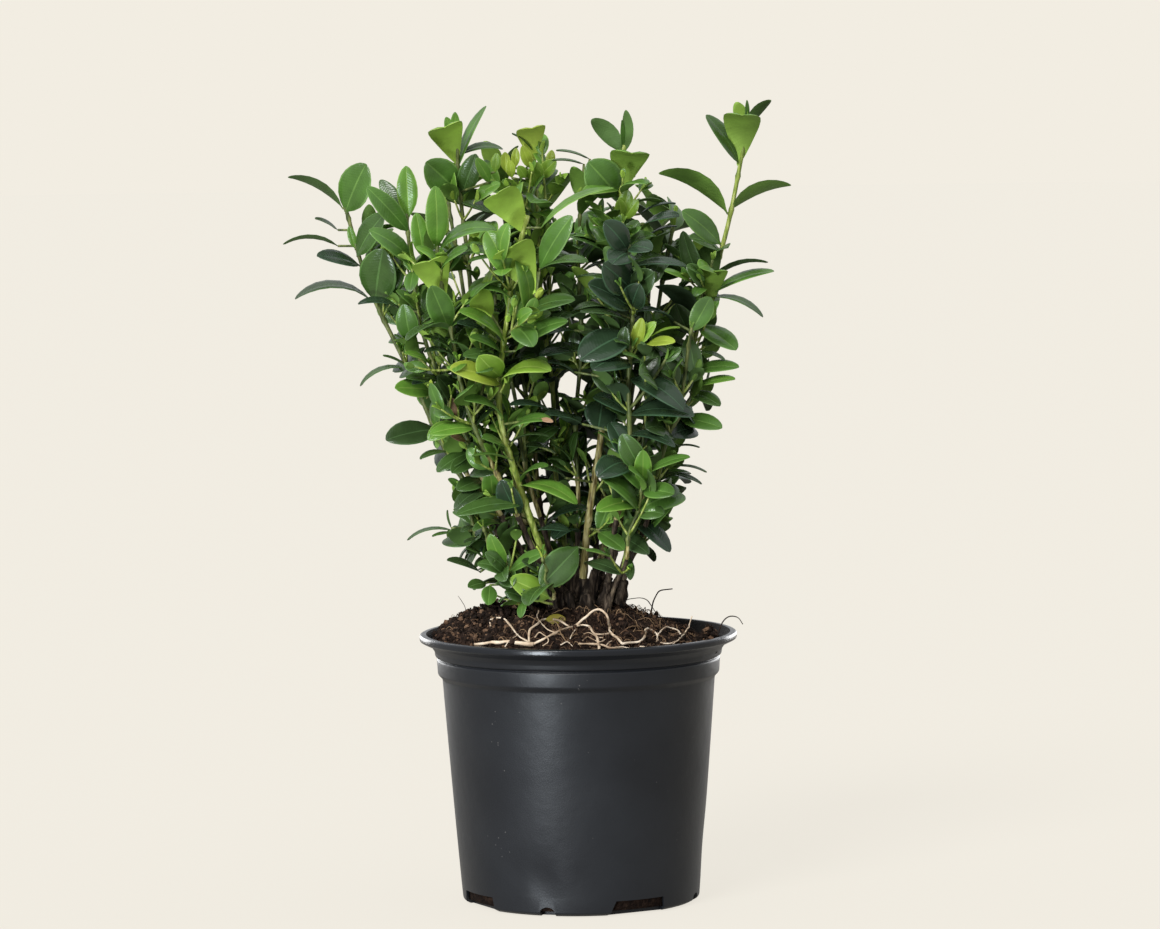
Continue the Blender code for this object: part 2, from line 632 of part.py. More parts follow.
def make_stem(shoot):
    """One bare bough, from just above its stub on the root crown to just below the first leaves."""
    length = lengths_along(shoot_line(shoot))[-1]
    end = shoot.bare * length - CLEAR
    points, radii = stem_part(shoot, CROWN_STUB_LENGTH + CLEAR, end, STEM_RINGS)
    return solid("stem_" + shoot.name, *tube(points, radii, LIMB_SIDES), GREEN_STEM, smooth=True)


def make_foliage(mass, shoot, twigs, leaves):
    """One shoot's own stem, side twigs and leaves, joined as one solid."""
    own = twigs[mass]
    stem = solid("foliage_" + shoot.name, *tube(own.points, own.radii, TWIG_SIDES), FOLIAGE)
    operands = []
    for twig in twigs:
        if twig.mass == mass and twig.name != shoot.name:
            operands.append(solid("twig", *tube(twig.points, twig.radii, TWIG_SIDES), FOLIAGE))
    for leaf in leaves:
        if twigs[leaf.twig].mass == mass:
            operands.append(solid("leaf", *leaf_solid(leaf, sunk=LEAF_SUNK), FOLIAGE))
    return combined(stem, operands, "UNION")


make_pot()
make_soil()
make_root_crown()
grown_twigs, grown_leaves = grow_crown()
for place_in_table, shoot_to_make in enumerate(SHOOTS):
    if shoot_to_make.bare:
        make_stem(shoot_to_make)
    make_foliage(place_in_table, shoot_to_make, grown_twigs, grown_leaves)
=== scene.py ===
"""The looks of the potted common boxwood: a moulded pot, crumbly compost with roots lying on it, a gnarled
stump, and the crown, grown stem by stem and leaf by leaf.

Sizes are in millimetres in the frame's axes, +Z up and -Y to the front. They become metres where a mesh is
made.
"""

import itertools
import math
from collections import namedtuple
from random import Random

import bmesh
import bpy
import numpy as np
from mathutils import Matrix, Vector
from mathutils.bvhtree import BVHTree


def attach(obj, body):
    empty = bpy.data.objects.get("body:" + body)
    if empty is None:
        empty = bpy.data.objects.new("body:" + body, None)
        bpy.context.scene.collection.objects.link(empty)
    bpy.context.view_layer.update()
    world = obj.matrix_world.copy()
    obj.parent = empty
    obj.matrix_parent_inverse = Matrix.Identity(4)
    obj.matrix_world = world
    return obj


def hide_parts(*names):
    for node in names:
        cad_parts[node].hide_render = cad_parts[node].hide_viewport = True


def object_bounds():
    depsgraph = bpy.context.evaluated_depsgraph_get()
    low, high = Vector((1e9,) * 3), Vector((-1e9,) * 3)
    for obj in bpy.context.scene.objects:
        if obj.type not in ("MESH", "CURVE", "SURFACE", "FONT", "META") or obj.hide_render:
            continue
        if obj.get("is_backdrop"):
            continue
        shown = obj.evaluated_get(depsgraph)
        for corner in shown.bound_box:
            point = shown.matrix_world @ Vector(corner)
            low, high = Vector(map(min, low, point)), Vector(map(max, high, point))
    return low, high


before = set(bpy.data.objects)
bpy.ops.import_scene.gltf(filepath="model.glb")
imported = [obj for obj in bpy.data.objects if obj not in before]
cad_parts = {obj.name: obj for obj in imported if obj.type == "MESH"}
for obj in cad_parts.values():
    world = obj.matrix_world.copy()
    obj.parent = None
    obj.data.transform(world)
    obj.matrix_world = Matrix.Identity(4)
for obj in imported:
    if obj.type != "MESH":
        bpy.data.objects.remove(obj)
cad_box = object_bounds()

MM = 0.001
SEED = 7
scene = bpy.context.scene


# Camera: two metres off at the height of the shrub's top, tilted down a little and rolled very slightly.
CAMERA_DISTANCE = 2.006
CAMERA_ELEVATION = math.radians(4.43)
CAMERA_ROLL = math.radians(-0.7)
CAMERA_LENS = 152.2
SENSOR_WIDTH = 36.0
AIM = Vector((0.0016, 0.0, 0.1788))
lens = bpy.data.cameras.new("camera")
lens.lens = CAMERA_LENS
lens.sensor_width = SENSOR_WIDTH
camera = bpy.data.objects.new("camera", lens)
scene.collection.objects.link(camera)
to_camera = Vector((0.0, -math.cos(CAMERA_ELEVATION), math.sin(CAMERA_ELEVATION)))
turned_to_aim = (-to_camera).to_track_quat("-Z", "Y").to_matrix().to_4x4()
camera.matrix_world = (Matrix.Translation(AIM + to_camera * CAMERA_DISTANCE) @ turned_to_aim
                       @ Matrix.Rotation(CAMERA_ROLL, 4, "Z"))
scene.camera = camera
PHOTO_WIDTH = 1160
PHOTO_HEIGHT = 929
FOCAL_PIXELS = CAMERA_LENS / SENSOR_WIDTH * PHOTO_WIDTH
camera_turn = np.array(camera.matrix_world.to_3x3())
camera_place = np.array(camera.matrix_world.translation) / MM


def pixel_of(point):
    """The column and row of the photograph at which a point in millimetres is seen."""
    x, y, z = (point - camera_place) @ camera_turn
    return PHOTO_WIDTH / 2 - FOCAL_PIXELS * x / z, PHOTO_HEIGHT / 2 + FOCAL_PIXELS * y / z


def seen_at(column, row, depth):
    """The point in millimetres that is seen at a pixel, on the upright plane y = depth."""
    aside = (column - PHOTO_WIDTH / 2) / FOCAL_PIXELS
    up = (PHOTO_HEIGHT / 2 - row) / FOCAL_PIXELS
    ray = camera_turn @ (aside, up, -1.0)
    return camera_place + ray * (depth - camera_place[1]) / ray[1]


# Studio: a cream backdrop, a dimmer soft sky that lights the part, a broad key light at the upper left, and
# a small card low on the left for the long highlight down the pot. Two cards behind light only the pot, for
# the bright ends of its lip. A pale floor runs under it all.
CREAM = (0.888, 0.847, 0.761)
SKY_BELOW = (0.14, 0.14, 0.14)
SKY_LEVEL = (0.58, 0.59, 0.60)
SKY_ABOVE = (0.82, 0.84, 0.87)
KEY_FROM = Vector((-0.50, -0.95, 0.80))
KEY_STRENGTH = 2.5
KEY_SOFTNESS = math.radians(24)
CARD_PLACE = Vector((-0.24, -0.46, 0.065))
CARD_SIZE = (0.10, 0.14)
CARD_POWER = 1.6
CARD_COLOUR = (0.85, 0.93, 1.0)
CARD_AIM = (0, 0, 0.05)
EDGE_CARD_PLACE = Vector((0.45, 0.75, 0.22))
EDGE_CARD_SIZE = (0.5, 0.4)
EDGE_CARD_POWER = 3.6
EDGE_CARD_AIM = (0, 0, 0.1)
FLOOR_CORNERS = 64
FLOOR_RADIUS = 14.0
FLOOR_DROP = 0.0003
FLOOR_GLOW = 0.872
FLOOR_GREY = 0.10
FLOOR_MIRRORED = 0.42

scene.view_settings.view_transform = "Standard"


def node(tree, kind, inputs=None, **settings):
    """A shader node with these settings. Each input takes a value or the output of another node."""
    made = tree.nodes.new("ShaderNode" + kind)
    for name, value in settings.items():
        setattr(made, name, value)
    for name, value in (inputs or {}).items():
        if isinstance(value, bpy.types.NodeSocket):
            tree.links.new(value, made.inputs[name])
        else:
            made.inputs[name].default_value = value
    return made


def maths(tree, operation, *values):
    """The result of a Math node on values or outputs."""
    return node(tree, "Math", dict(enumerate(values)), operation=operation).outputs["Value"]


def ramp(tree, value, low, high, colours):
    """Colours spread evenly between two values of the input."""
    made = node(tree, "ValToRGB", {"Fac": value})
    steps = np.linspace(low, high, len(colours))
    marks = made.color_ramp.elements
    marks[0].position, marks[1].position = steps[0], steps[-1]
    marks[0].color, marks[1].color = (*colours[0], 1.0), (*colours[-1], 1.0)
    for step, colour in zip(steps[1:-1], colours[1:-1]):
        marks.new(step).color = (*colour, 1.0)
    return made.outputs["Color"]


def emptied(made):
    """The node tree of a new world or material, with nothing in it."""
    made.use_nodes = True
    made.node_tree.nodes.clear()
    return made.node_tree


scene.world = bpy.data.worlds.new("studio")
tree = emptied(scene.world)
direction = node(tree, "TexCoord").outputs["Generated"]
height = node(tree, "SeparateXYZ", {"Vector": direction}).outputs["Z"]
share = node(tree, "MapRange", {"Value": height, "From Min": -1.0}).outputs["Result"]
sky = ramp(tree, share, 0, 1, [SKY_BELOW, SKY_LEVEL, SKY_ABOVE])
light_of_sky = node(tree, "Background", {"Color": sky}).outputs["Background"]
backdrop = node(tree, "Background", {"Color": (*CREAM, 1.0)}).outputs["Background"]
by_camera = node(tree, "LightPath").outputs["Is Camera Ray"]
either = node(tree, "MixShader", {"Fac": by_camera, 1: light_of_sky, 2: backdrop})
node(tree, "OutputWorld", {"Surface": either.outputs["Shader"]})


def lamp(name, kind, energy, place, aim, size=None, **settings):
    """A light at a place in metres, turned to a point."""
    light = bpy.data.lights.new(name, kind)
    light.energy = energy
    if size:
        light.shape = "RECTANGLE"
        light.size, light.size_y = size
    for setting, value in settings.items():
        setattr(light, setting, value)
    made = bpy.data.objects.new(name, light)
    made.location = place
    made.rotation_euler = (Vector(aim) - Vector(place)).to_track_quat("-Z", "Y").to_euler()
    made.visible_camera = False
    scene.collection.objects.link(made)
    return made


lamp("key", "SUN", KEY_STRENGTH, KEY_FROM, (0, 0, 0), angle=KEY_SOFTNESS)
no_floor = bpy.data.collections.new("no_floor")
card = lamp("card", "AREA", CARD_POWER, CARD_PLACE, CARD_AIM, CARD_SIZE, color=CARD_COLOUR)
card.light_linking.receiver_collection = no_floor
for_pot = bpy.data.collections.new("for_pot")
for side in (-1, 1):
    place = EDGE_CARD_PLACE * Vector((side, 1, 1))
    edge = lamp("edge_card", "AREA", EDGE_CARD_POWER, place, EDGE_CARD_AIM, EDGE_CARD_SIZE)
    edge.light_linking.receiver_collection = for_pot

bpy.ops.mesh.primitive_circle_add(vertices=FLOOR_CORNERS, radius=FLOOR_RADIUS, fill_type="NGON",
                                  location=(0, 0, -FLOOR_DROP))
floor = bpy.context.object
floor.name = "floor"
paper = bpy.data.materials.new("paper")
tree = emptied(paper)
matt = node(tree, "BsdfDiffuse", {"Color": (*[FLOOR_GREY * c for c in CREAM], 1.0)}).outputs["BSDF"]
seen = node(tree, "LightPath").outputs
mirrored = maths(tree, "MULTIPLY", seen["Is Glossy Ray"], FLOOR_MIRRORED)
amount = maths(tree, "MULTIPLY_ADD", seen["Is Camera Ray"], FLOOR_GLOW, mirrored)
glow = node(tree, "Emission", {"Color": (*CREAM, 1.0), "Strength": amount}).outputs["Emission"]
both = node(tree, "AddShader", {0: matt, 1: glow}).outputs["Shader"]
node(tree, "OutputMaterial", {"Surface": both})
floor.data.materials.append(paper)
no_floor.objects.link(floor)
no_floor.collection_objects[0].light_linking.link_state = "EXCLUDE"
floor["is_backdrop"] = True


# Pot: a 13 cm nursery pot, blow moulded in thin black polypropylene, with a flared lip, two bands under it,
# drainage cut-outs round its foot and a few soft dents. A turned profile, cut and dented, with painted shade
# on the inside of its rim: a near black, rough coat of a soil brown.
RIM_RADIUS = 65.0
POT_HEIGHT = 110.0
BASE_RADIUS = 48.6
WALL_TOP_RADIUS = 55.9
WALL_TOP_Z = 91.8
WALL = 1.2
FLOOR = 1.6
POT_TURNS = 180
CORNER = 0.55
CORNER_STEPS = 5
WALL_ROWS = 26
# Its outside as radii and heights, from the middle of the underside to the lip
POT_OUTSIDE = [(0, 0), (BASE_RADIUS - 2.1, 0), (BASE_RADIUS, 1.2), (BASE_RADIUS + 0.6, 8),
               (WALL_TOP_RADIUS, WALL_TOP_Z), (57.7, 93.7), (58.1, 99.6), (57.2, 100.3), (58.7, 101.0),
               (59.0, 103.2), (60.4, 105.2), (RIM_RADIUS, 107.4), (RIM_RADIUS, 109.6),
               (RIM_RADIUS - 0.9, POT_HEIGHT)]
# Its inside, from the floor up
POT_INSIDE = [(0, FLOOR), (BASE_RADIUS - 1.0, FLOOR), (BASE_RADIUS + 0.6 - WALL, 8),
              (WALL_TOP_RADIUS - WALL, WALL_TOP_Z), (56.3, 94.1), (56.3, 99.6), (57.3, 101.6), (58.7, 104.2),
              (61.5, 109.4), (RIM_RADIUS - 2.6, POT_HEIGHT)]
# Dents: turn in degrees from the front, height, depth, and half widths round and up the wall
DENTS = [(-33, 18, 0.9, 11, 9), (-12, 8, 0.5, 8, 8), (38, 55, 0.5, 22, 20), (-60, 60, 0.4, 16, 26),
         (-18, 15, 0.9, 7, 9), (150, 40, 0.6, 20, 18), (-140, 62, 0.5, 18, 22), (95, 22, 0.6, 12, 12)]
# The wave: its depth, where round the pot it starts, and how far from the foot and the bands it dies out
WALL_WAVE = 0.22
WAVE_START_DEG = 40.0
WAVE_FOOT = (1.0, 4.0)
WAVE_TOP = 8.0
WIDE_CUTOUT_DEG = 31.0
WIDE_CUTOUT_HEIGHT = 6.0
WIDE_CUTOUT_SLANT = 3.0
FIRST_WIDE_CUTOUT_DEG = 28.5
SMALL_CUTOUT_WIDTH = 6.4
SMALL_CUTOUT_HEIGHT = 3.8
ARCH_POINTS = 9
ARCH_SPRINGS = 0.4
CUTOUT_FROM = 43.5
CUTOUT_TO = 53.0
SHARP_EDGE = math.radians(38)
LIP_FROM = 107.2
# Faces inside the rim within this radius take the painted shade coat
SHADE_PAINTED_WITHIN = 62.8
DUST = (0.16, 0.15, 0.14, 1.0)
BLACK_TONES = [(0.0085, 0.0095, 0.012), (0.0135, 0.015, 0.018)]
# Most noises keep between these values, so a coat's colours are spread over them
NOISE_REACH = (0.32, 0.68)
# A corner is cut back by no more than this share of its side
LONGEST_CUT = 0.45


def rounded(corners, cut, steps):
    """A profile with its inner corners bridged: each bridge is a parabola between points cut away along the
    corner's two sides, (1-t)^2 a + 2t(1-t) corner + t^2 b."""
    corners = np.array(corners, dtype=float)
    t = np.linspace(0, 1, steps)[:, None]
    rows = [corners[:1]]
    for before, corner, after in zip(corners, corners[1:], corners[2:]):
        ends = []
        for side in (before - corner, after - corner):
            length = np.linalg.norm(side)
            ends.append(corner + side * min(cut / length, LONGEST_CUT))
        rows.append((1 - t) ** 2 * ends[0] + 2 * t * (1 - t) * corner + t**2 * ends[1])
    rows.append(corners[-1:])
    return np.concatenate(rows)


def turned(rings):
    """Points and faces of a closed body from rings of radii and heights: x = radius sin t, y = -radius cos t.
    The first and the last ring are its two poles."""
    count = rings.shape[1]
    t = np.arange(count) * 2 * math.pi / count
    body = rings[1:-1]
    skin = np.stack((body[..., 0] * np.sin(t), -body[..., 0] * np.cos(t), body[..., 1]), axis=-1)
    poles = [[[0.0, 0.0, ring[:, 1].mean()]] for ring in (rings[0], rings[-1])]
    points = np.concatenate((poles[0], skin.reshape(-1, 3), poles[1]))
    here = 1 + np.arange(count)
    after = 1 + (np.arange(count) + 1) % count
    rows = (np.arange(len(body) - 1) * count)[:, None]
    quads = np.stack((rows + here, rows + after, rows + count + after, rows + count + here), axis=-1)
    last = (len(body) - 1) * count
    top = np.full(count, len(points) - 1)
    fans = np.concatenate((np.stack((top * 0, after, here), axis=-1),
                           np.stack((last + here, last + after, top), axis=-1)))
    return points, quads.reshape(-1, 4).tolist() + fans.tolist()


def shape(name, points, faces, coats, slots=None, smooth=True):
    """A mesh object at the origin from millimetre points. slots gives each face the number of its coat."""
    mesh = bpy.data.meshes.new(name)
    mesh.from_pydata((np.asarray(points) * MM).tolist(), [], faces)
    for one in coats:
        mesh.materials.append(one)
    if slots is not None:
        mesh.polygons.foreach_set("material_index", slots)
    mesh.polygons.foreach_set("use_smooth", [smooth] * len(mesh.polygons))
    made = bpy.data.objects.new(name, mesh)
    scene.collection.objects.link(made)
    return made


def part_of_plant(made, slot, *replaced):
    """The piece rides on the one body and stands for some nodes. Its slot is not used."""
    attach(made, "root")
    if replaced:
        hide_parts(*replaced)
    return made


def noise(tree, grain, detail=4.0, drawn=1.0):
    """A noise on the piece's own place, about 1000 / grain millimetres to a lump, or drawn out upward."""
    place = node(tree, "TexCoord").outputs["Object"]
    if drawn != 1.0:
        place = node(tree, "Mapping", {"Vector": place, "Scale": (1.0, 1.0, drawn)}).outputs["Vector"]
    return node(tree, "TexNoise", {"Vector": place, "Scale": grain, "Detail": detail}).outputs["Fac"]


def relief(tree, shader, value, distance):
    """Bumps of this height in metres. They add to bumps already made."""
    made = node(tree, "Bump", {"Height": value, "Distance": distance})
    normal = shader.inputs["Normal"]
    if normal.is_linked:
        tree.links.new(normal.links[0].from_socket, made.inputs["Normal"])
    tree.links.new(made.outputs["Normal"], normal)


def opened(finish):
    """A finish with its node tree and its shader."""
    return finish, finish.node_tree, finish.node_tree.nodes["Principled BSDF"]


def coat(name, colours, grain, roughness, specular, bump=0.0, bump_grain=0.0):
    """A finish whose colour wanders between the given ones, with a fine relief."""
    made = bpy.data.materials.new(name)
    made.use_nodes = True
    made, tree, shader = opened(made)
    shader.inputs["Roughness"].default_value = roughness
    shader.inputs["Specular IOR Level"].default_value = specular
    tree.links.new(ramp(tree, noise(tree, grain), *NOISE_REACH, colours), shader.inputs["Base Color"])
    if bump:
        relief(tree, shader, noise(tree, bump_grain), bump)
    return made


def black_plastic(name, smoothest, roughest):
    """Satin black polypropylene with smudges, an orange-peel skin, shallow waves and sparse pale dust."""
    made, tree, shader = opened(coat(name, BLACK_TONES, 26.0, 0.4, 0.34))
    smudge = ramp(tree, noise(tree, 34.0, 6.0), 0.35, 0.7, [(smoothest,) * 3, (roughest,) * 3])
    tree.links.new(smudge, shader.inputs["Roughness"])
    relief(tree, shader, noise(tree, 1300.0), 0.00003)
    relief(tree, shader, noise(tree, 22.0), 0.0009)
    place = node(tree, "TexCoord").outputs["Object"]
    dots = node(tree, "TexVoronoi", {"Vector": place, "Scale": 330.0}).outputs["Distance"]
    speck = ramp(tree, dots, 0.05, 0.11, [(1.0,) * 3, (0.0,) * 3])
    patch = ramp(tree, noise(tree, 45.0), 0.60, 0.68, [(0.0,) * 3, (0.55,) * 3])
    product = {"Factor": 1.0, "A": speck, "B": patch}
    where = node(tree, "Mix", product, data_type="RGBA", blend_type="MULTIPLY")
    base = shader.inputs["Base Color"]
    mixed = {"Factor": where.outputs["Result"], "A": base.links[0].from_socket, "B": DUST}
    tree.links.new(node(tree, "Mix", mixed, data_type="RGBA").outputs["Result"], base)
    return made


def pot_rings():
    """The pot's rows of radii and heights. Each dent lowers the radius by depth exp(-(dt/w)^2 - (dz/h)^2),
    and a wave of two swells round the wall adds its share where the wall is free."""
    outside = rounded(POT_OUTSIDE, CORNER, CORNER_STEPS)
    inside = rounded(POT_INSIDE, CORNER, CORNER_STEPS)
    on_wall = np.linspace(0, 1, WALL_ROWS + 2)[1:-1, None]
    split = []
    for profile in (outside, inside):
        gap = int(np.argmax(np.abs(np.diff(profile[:, 1]))))
        wall = profile[gap] + (profile[gap + 1] - profile[gap]) * on_wall
        split.append(np.concatenate((profile[:gap + 1], wall, profile[gap + 1:])))
    profile = np.concatenate((split[0], split[1][::-1]))
    rings = np.repeat(profile[:, None, :], POT_TURNS, axis=1)
    turn = np.linspace(0, 360, POT_TURNS, endpoint=False)[None, :]
    z = rings[..., 1]
    swell = np.sin(np.radians(2 * turn + WAVE_START_DEG))
    inward = WALL_WAVE * swell * np.sin(math.pi * np.clip(z / WALL_TOP_Z, 0, 1))
    for at, level, depth, wide, high in DENTS:
        apart = (turn - at + 180) % 360 - 180
        inward = inward + depth * np.exp(-(apart / wide) ** 2 - ((z - level) / high) ** 2)
    above_foot = np.clip((z - WAVE_FOOT[0]) / WAVE_FOOT[1], 0, 1)
    free = above_foot * np.clip((WALL_TOP_Z - z) / WAVE_TOP, 0, 1)
    rings[..., 0] -= inward * free * (rings[..., 0] > BASE_RADIUS - 2)
    return rings


def cutout(section, degrees):
    """A prism of this section that runs out through the foot of the wall."""
    turn = math.radians(degrees)
    outward = np.array((math.sin(turn), -math.cos(turn), 0.0))
    aside = np.array((math.cos(turn), math.sin(turn), 0.0))
    section = np.array(section, dtype=float)
    ends = [outward * radius + section[:, :1] * aside + section[:, 1:] * np.array((0, 0, 1.0))
            for radius in (CUTOUT_FROM, CUTOUT_TO)]
    count = len(section)
    faces = [tuple(range(count)), tuple(reversed(range(count, 2 * count)))]
    faces += [(k, k + count, (k + 1) % count + count, (k + 1) % count) for k in range(count)]
    return np.concatenate(ends), faces


def joined(bodies):
    """Several bodies' points and faces as one mesh."""
    points = []
    faces = []
    start = 0
    for these, own in bodies:
        points.append(these)
        faces += [tuple(start + k for k in face) for face in own]
        start += len(these)
    return np.concatenate(points), faces


def settled(made):
    """The object with its modifiers applied."""
    graph = bpy.context.evaluated_depsgraph_get()
    mesh = bpy.data.meshes.new_from_object(made.evaluated_get(graph))
    made.modifiers.clear()
    made.data = mesh
    return made


PLASTIC = black_plastic("black_plastic", 0.36, 0.48)
LIP_PLASTIC = black_plastic("lip_plastic", 0.16, 0.28)
# Painted shade: the inside of the rim is near black and rough, so that the pot's hollow looks shaded
SHADE_PAINTED_PLASTIC = coat("stained_plastic", [(0.003, 0.0025, 0.002), (0.010, 0.007, 0.005)], 260.0, 0.85, 0.15,
                       0.0003, 600.0)
pot = shape("nursery_pot", *turned(pot_rings()), [PLASTIC, LIP_PLASTIC, SHADE_PAINTED_PLASTIC])
half = BASE_RADIUS * math.sin(math.radians(WIDE_CUTOUT_DEG / 2))
arch = np.linspace(math.pi, 0, ARCH_POINTS)
wide = [(-half, -1), (-half + WIDE_CUTOUT_SLANT, WIDE_CUTOUT_HEIGHT), (half - 1, WIDE_CUTOUT_HEIGHT),
        (half, -1)]
arch_height = SMALL_CUTOUT_HEIGHT * (ARCH_SPRINGS + (1 - ARCH_SPRINGS) * np.sin(arch))
small = [(SMALL_CUTOUT_WIDTH / 2 * x, y) for x, y in [(-1, -1), *zip(np.cos(arch), arch_height), (1, -1)]]
prisms = []
for quarter in range(4):
    prisms.append(cutout(wide, FIRST_WIDE_CUTOUT_DEG + 90 * quarter))
    prisms.append(cutout(small, FIRST_WIDE_CUTOUT_DEG + 45 + 90 * quarter))
cutter = shape("cutter", *joined(prisms), [PLASTIC], smooth=False)
step = bmesh.new()
step.from_mesh(cutter.data)
bmesh.ops.recalc_face_normals(step, faces=step.faces)
step.to_mesh(cutter.data)
step.free()
cut = pot.modifiers.new("cutouts", "BOOLEAN")
cut.operation = "DIFFERENCE"
cut.solver = "EXACT"
cut.object = cutter
settled(pot)
bpy.data.objects.remove(cutter, do_unlink=True)
pot.data.set_sharp_from_angle(angle=SHARP_EDGE)
# The lip takes the smoother coat, and the inside of the rim the painted shade coat
for face in pot.data.polygons:
    height = face.center.z / MM
    radius = math.hypot(face.center.x, face.center.y) / MM
    outward = face.normal.x * face.center.x + face.normal.y * face.center.y
    if radius < SHADE_PAINTED_WITHIN and WALL_TOP_Z < height and outward < 0:
        face.material_index = 2
    elif height > LIP_FROM:
        face.material_index = 1
part_of_plant(pot, "pot", "pot")
for_pot.objects.link(pot)


# Compost: dark fibrous potting soil that fills the pot and mounds up to the stump, higher at the left. One
# closed body with a lumpy top, with loose crumbs and fibres scattered over it.
GROUND_Z = 120.0
CLEAR = 0.3
SOIL_CLEAR = 0.4
PLATEAU_RADIUS = 27.0
SOIL_EDGE_Z = 105.0
SOIL_EDGE_FALL = 2.7
SOIL_EDGE_FRONT = 1.2
SOIL_BULGE = 0.35
SOIL_TURNS = 240
SOIL_ROWS = 90
# A hollow at the right of the stump: its middle, half widths and depth
HOLLOW = (27.0, 0.0, 8.0, 16.0, 3.6)
# Its relief: sizes of the lumps and their heights, and how they die out towards the wall
SOIL_LUMPS = ((11.0, 1.5), (4.5, 1.0), (2.0, 0.65), (0.9, 0.3))
CALM_EDGE = 2.5
LEAST_LUMP = 0.15
CRUMBS = 6800
CRUMB_SIZE = (0.25, 1.05)
CRUMB_FEWER_LARGE = 1.3
CRUMB_SUNK = (-0.2, 0.5)
CLODS = 170
CLOD_SIZE = (1.0, 2.4)
FIBRES = 1100
FIBRE_POINTS = 7
FIBRE_SIDES = 5
FIBRE_LENGTH = (3, 12)
FIBRE_LIFT = (0.2, 3.2)
FIBRE_RADIUS = (0.07, 0.24)
FIBRE_TAPER = (1, 0.4)
FIBRE_BEND = 1.6
FIBRE_LIMIT = 58
# Shares of dark, brown and rusty crumbs, and of brown, rusty and straw-coloured fibres
CRUMB_KINDS = (0.62, 0.25, 0.13)
FIBRE_KINDS = (0.50, 0.28, 0.22)
# How far a crumb's corners stand in and out, and how far it is stretched
CRUMB_ROUGHNESS = (0.6, 1.25)
CRUMB_STRETCH = (0.55, 1.3)
FIBRE_RISES = (0.5, 1.5)
# The share of the compost's radius within which crumbs and fibres lie
CRUMB_REACH = 0.98
FIBRE_REACH = 0.94
CRUMB_FACES = 20
# Large primes and masks that turn a lattice corner into a random number of 16 bits
HASH_PRIMES = (73856093, 19349663, 83492791)
SEED_PRIME = 2654435
MIX_PRIME = 1274126177
MASK_32 = 0xFFFFFFFF
MASK_16 = 0xFFFF
# A direction that no line here keeps to, to find the side of a line with
ODD_DIRECTION = (0.13, 0.97, 0.21)
# Heaps of loose clods: centre, half widths, height and number of clods
HEAPS = [(-38, -6, 9, 12, 4.5, 700), (-26, -16, 7, 8, 4.0, 400), (-48, 2, 5, 10, 3.0, 240),
         (54, -4, 3, 12, 9.0, 900), (44, 20, 8, 8, 5.0, 400), (25, 40, 14, 5, 4.0, 300)]
HEAP_CRUMB_SIZE = (0.5, 1.5)
HEAP_LIMIT = 57.6


def lumps(points, size, seed):
    """Smooth noise from -1 to 1 that turns over once every size: random values at the corners of a cubic
    lattice, blended by 3f^2 - 2f^3 of the place within the cell."""
    place = np.asarray(points) / size
    cell = np.floor(place).astype(np.int64)
    f = place - cell
    f = f * f * (3 - 2 * f)
    total = np.zeros(place.shape[:-1])
    for corner in itertools.product((0, 1), repeat=3):
        at = cell + np.array(corner)
        x, y, z = [at[..., axis] * prime for axis, prime in enumerate(HASH_PRIMES)]
        mixed = x ^ y ^ z ^ (seed * SEED_PRIME)
        mixed = ((mixed ^ (mixed >> 13)) * MIX_PRIME) & MASK_32
        mixed = (mixed ^ (mixed >> 16)) & MASK_16
        weight = np.prod(np.where(np.array(corner) == 1, f, 1 - f), axis=-1)
        total += weight * (mixed / (MASK_16 / 2) - 1)
    return total


def soil_edge(turn):
    """Height and radius of the compost's edge at a turn t: it falls to the right by a sine, and rises to the
    front by a cosine, and it follows the pot's inside."""
    z = SOIL_EDGE_Z - SOIL_EDGE_FALL * np.sin(turn) + SOIL_EDGE_FRONT * np.cos(turn)
    inside = np.array(POT_INSIDE[1:])
    return z, np.interp(z, inside[:, 1], inside[:, 0]) - SOIL_CLEAR


def soil_height(x, y):
    """The compost's height: level in the middle, and from there down to the edge by a power of the way in
    that depends on the turn, with lumps of several sizes that die out at the wall."""
    turn = np.arctan2(x, -y)
    radius = np.hypot(x, y)
    edge_z, edge_radius = soil_edge(turn)
    way_in = np.clip((edge_radius - radius) / (edge_radius - PLATEAU_RADIUS), 0, 1)
    z = edge_z + (GROUND_Z - edge_z) * way_in ** (1 + SOIL_BULGE * np.sin(turn))
    middle_x, middle_y, wide, deep, depth = HOLLOW
    z = z - depth * np.exp(-((x - middle_x) / wide) ** 2 - ((y - middle_y) / deep) ** 2)
    place = np.stack((x, y, np.zeros_like(x)), axis=-1)
    for number, (size, high) in enumerate(SOIL_LUMPS):
        z = z + high * lumps(place, size, number) * np.clip((edge_radius - radius) / CALM_EDGE, LEAST_LUMP, 1)
    return z


t = np.arange(SOIL_TURNS) * 2 * math.pi / SOIL_TURNS
edge_z, edge_radius = soil_edge(t)
inside = np.array([(r, z) for r, z in POT_INSIDE[1:] if z < edge_z.min()])
wall = np.repeat((inside - (SOIL_CLEAR, 0))[:, None, :], SOIL_TURNS, axis=1)
wall[0, :, 1] += SOIL_CLEAR
radius = edge_radius * np.linspace(1, 0, SOIL_ROWS)[:, None]
top = np.stack((radius, soil_height(radius * np.sin(t), -radius * np.cos(t))), axis=-1)
pole = np.stack((np.zeros(SOIL_TURNS), wall[0, :, 1]), axis=-1)[None]
COMPOST_TONES = [(0.007, 0.0045, 0.0035), (0.022, 0.012, 0.008), (0.045, 0.026, 0.017)]
COMPOST = coat("compost", COMPOST_TONES, 420.0, 0.95, 0.12, 0.0006, 900.0)
compost = shape("compost", *turned(np.concatenate((pole, wall, top))), [COMPOST])
part_of_plant(compost, "soil", "soil")


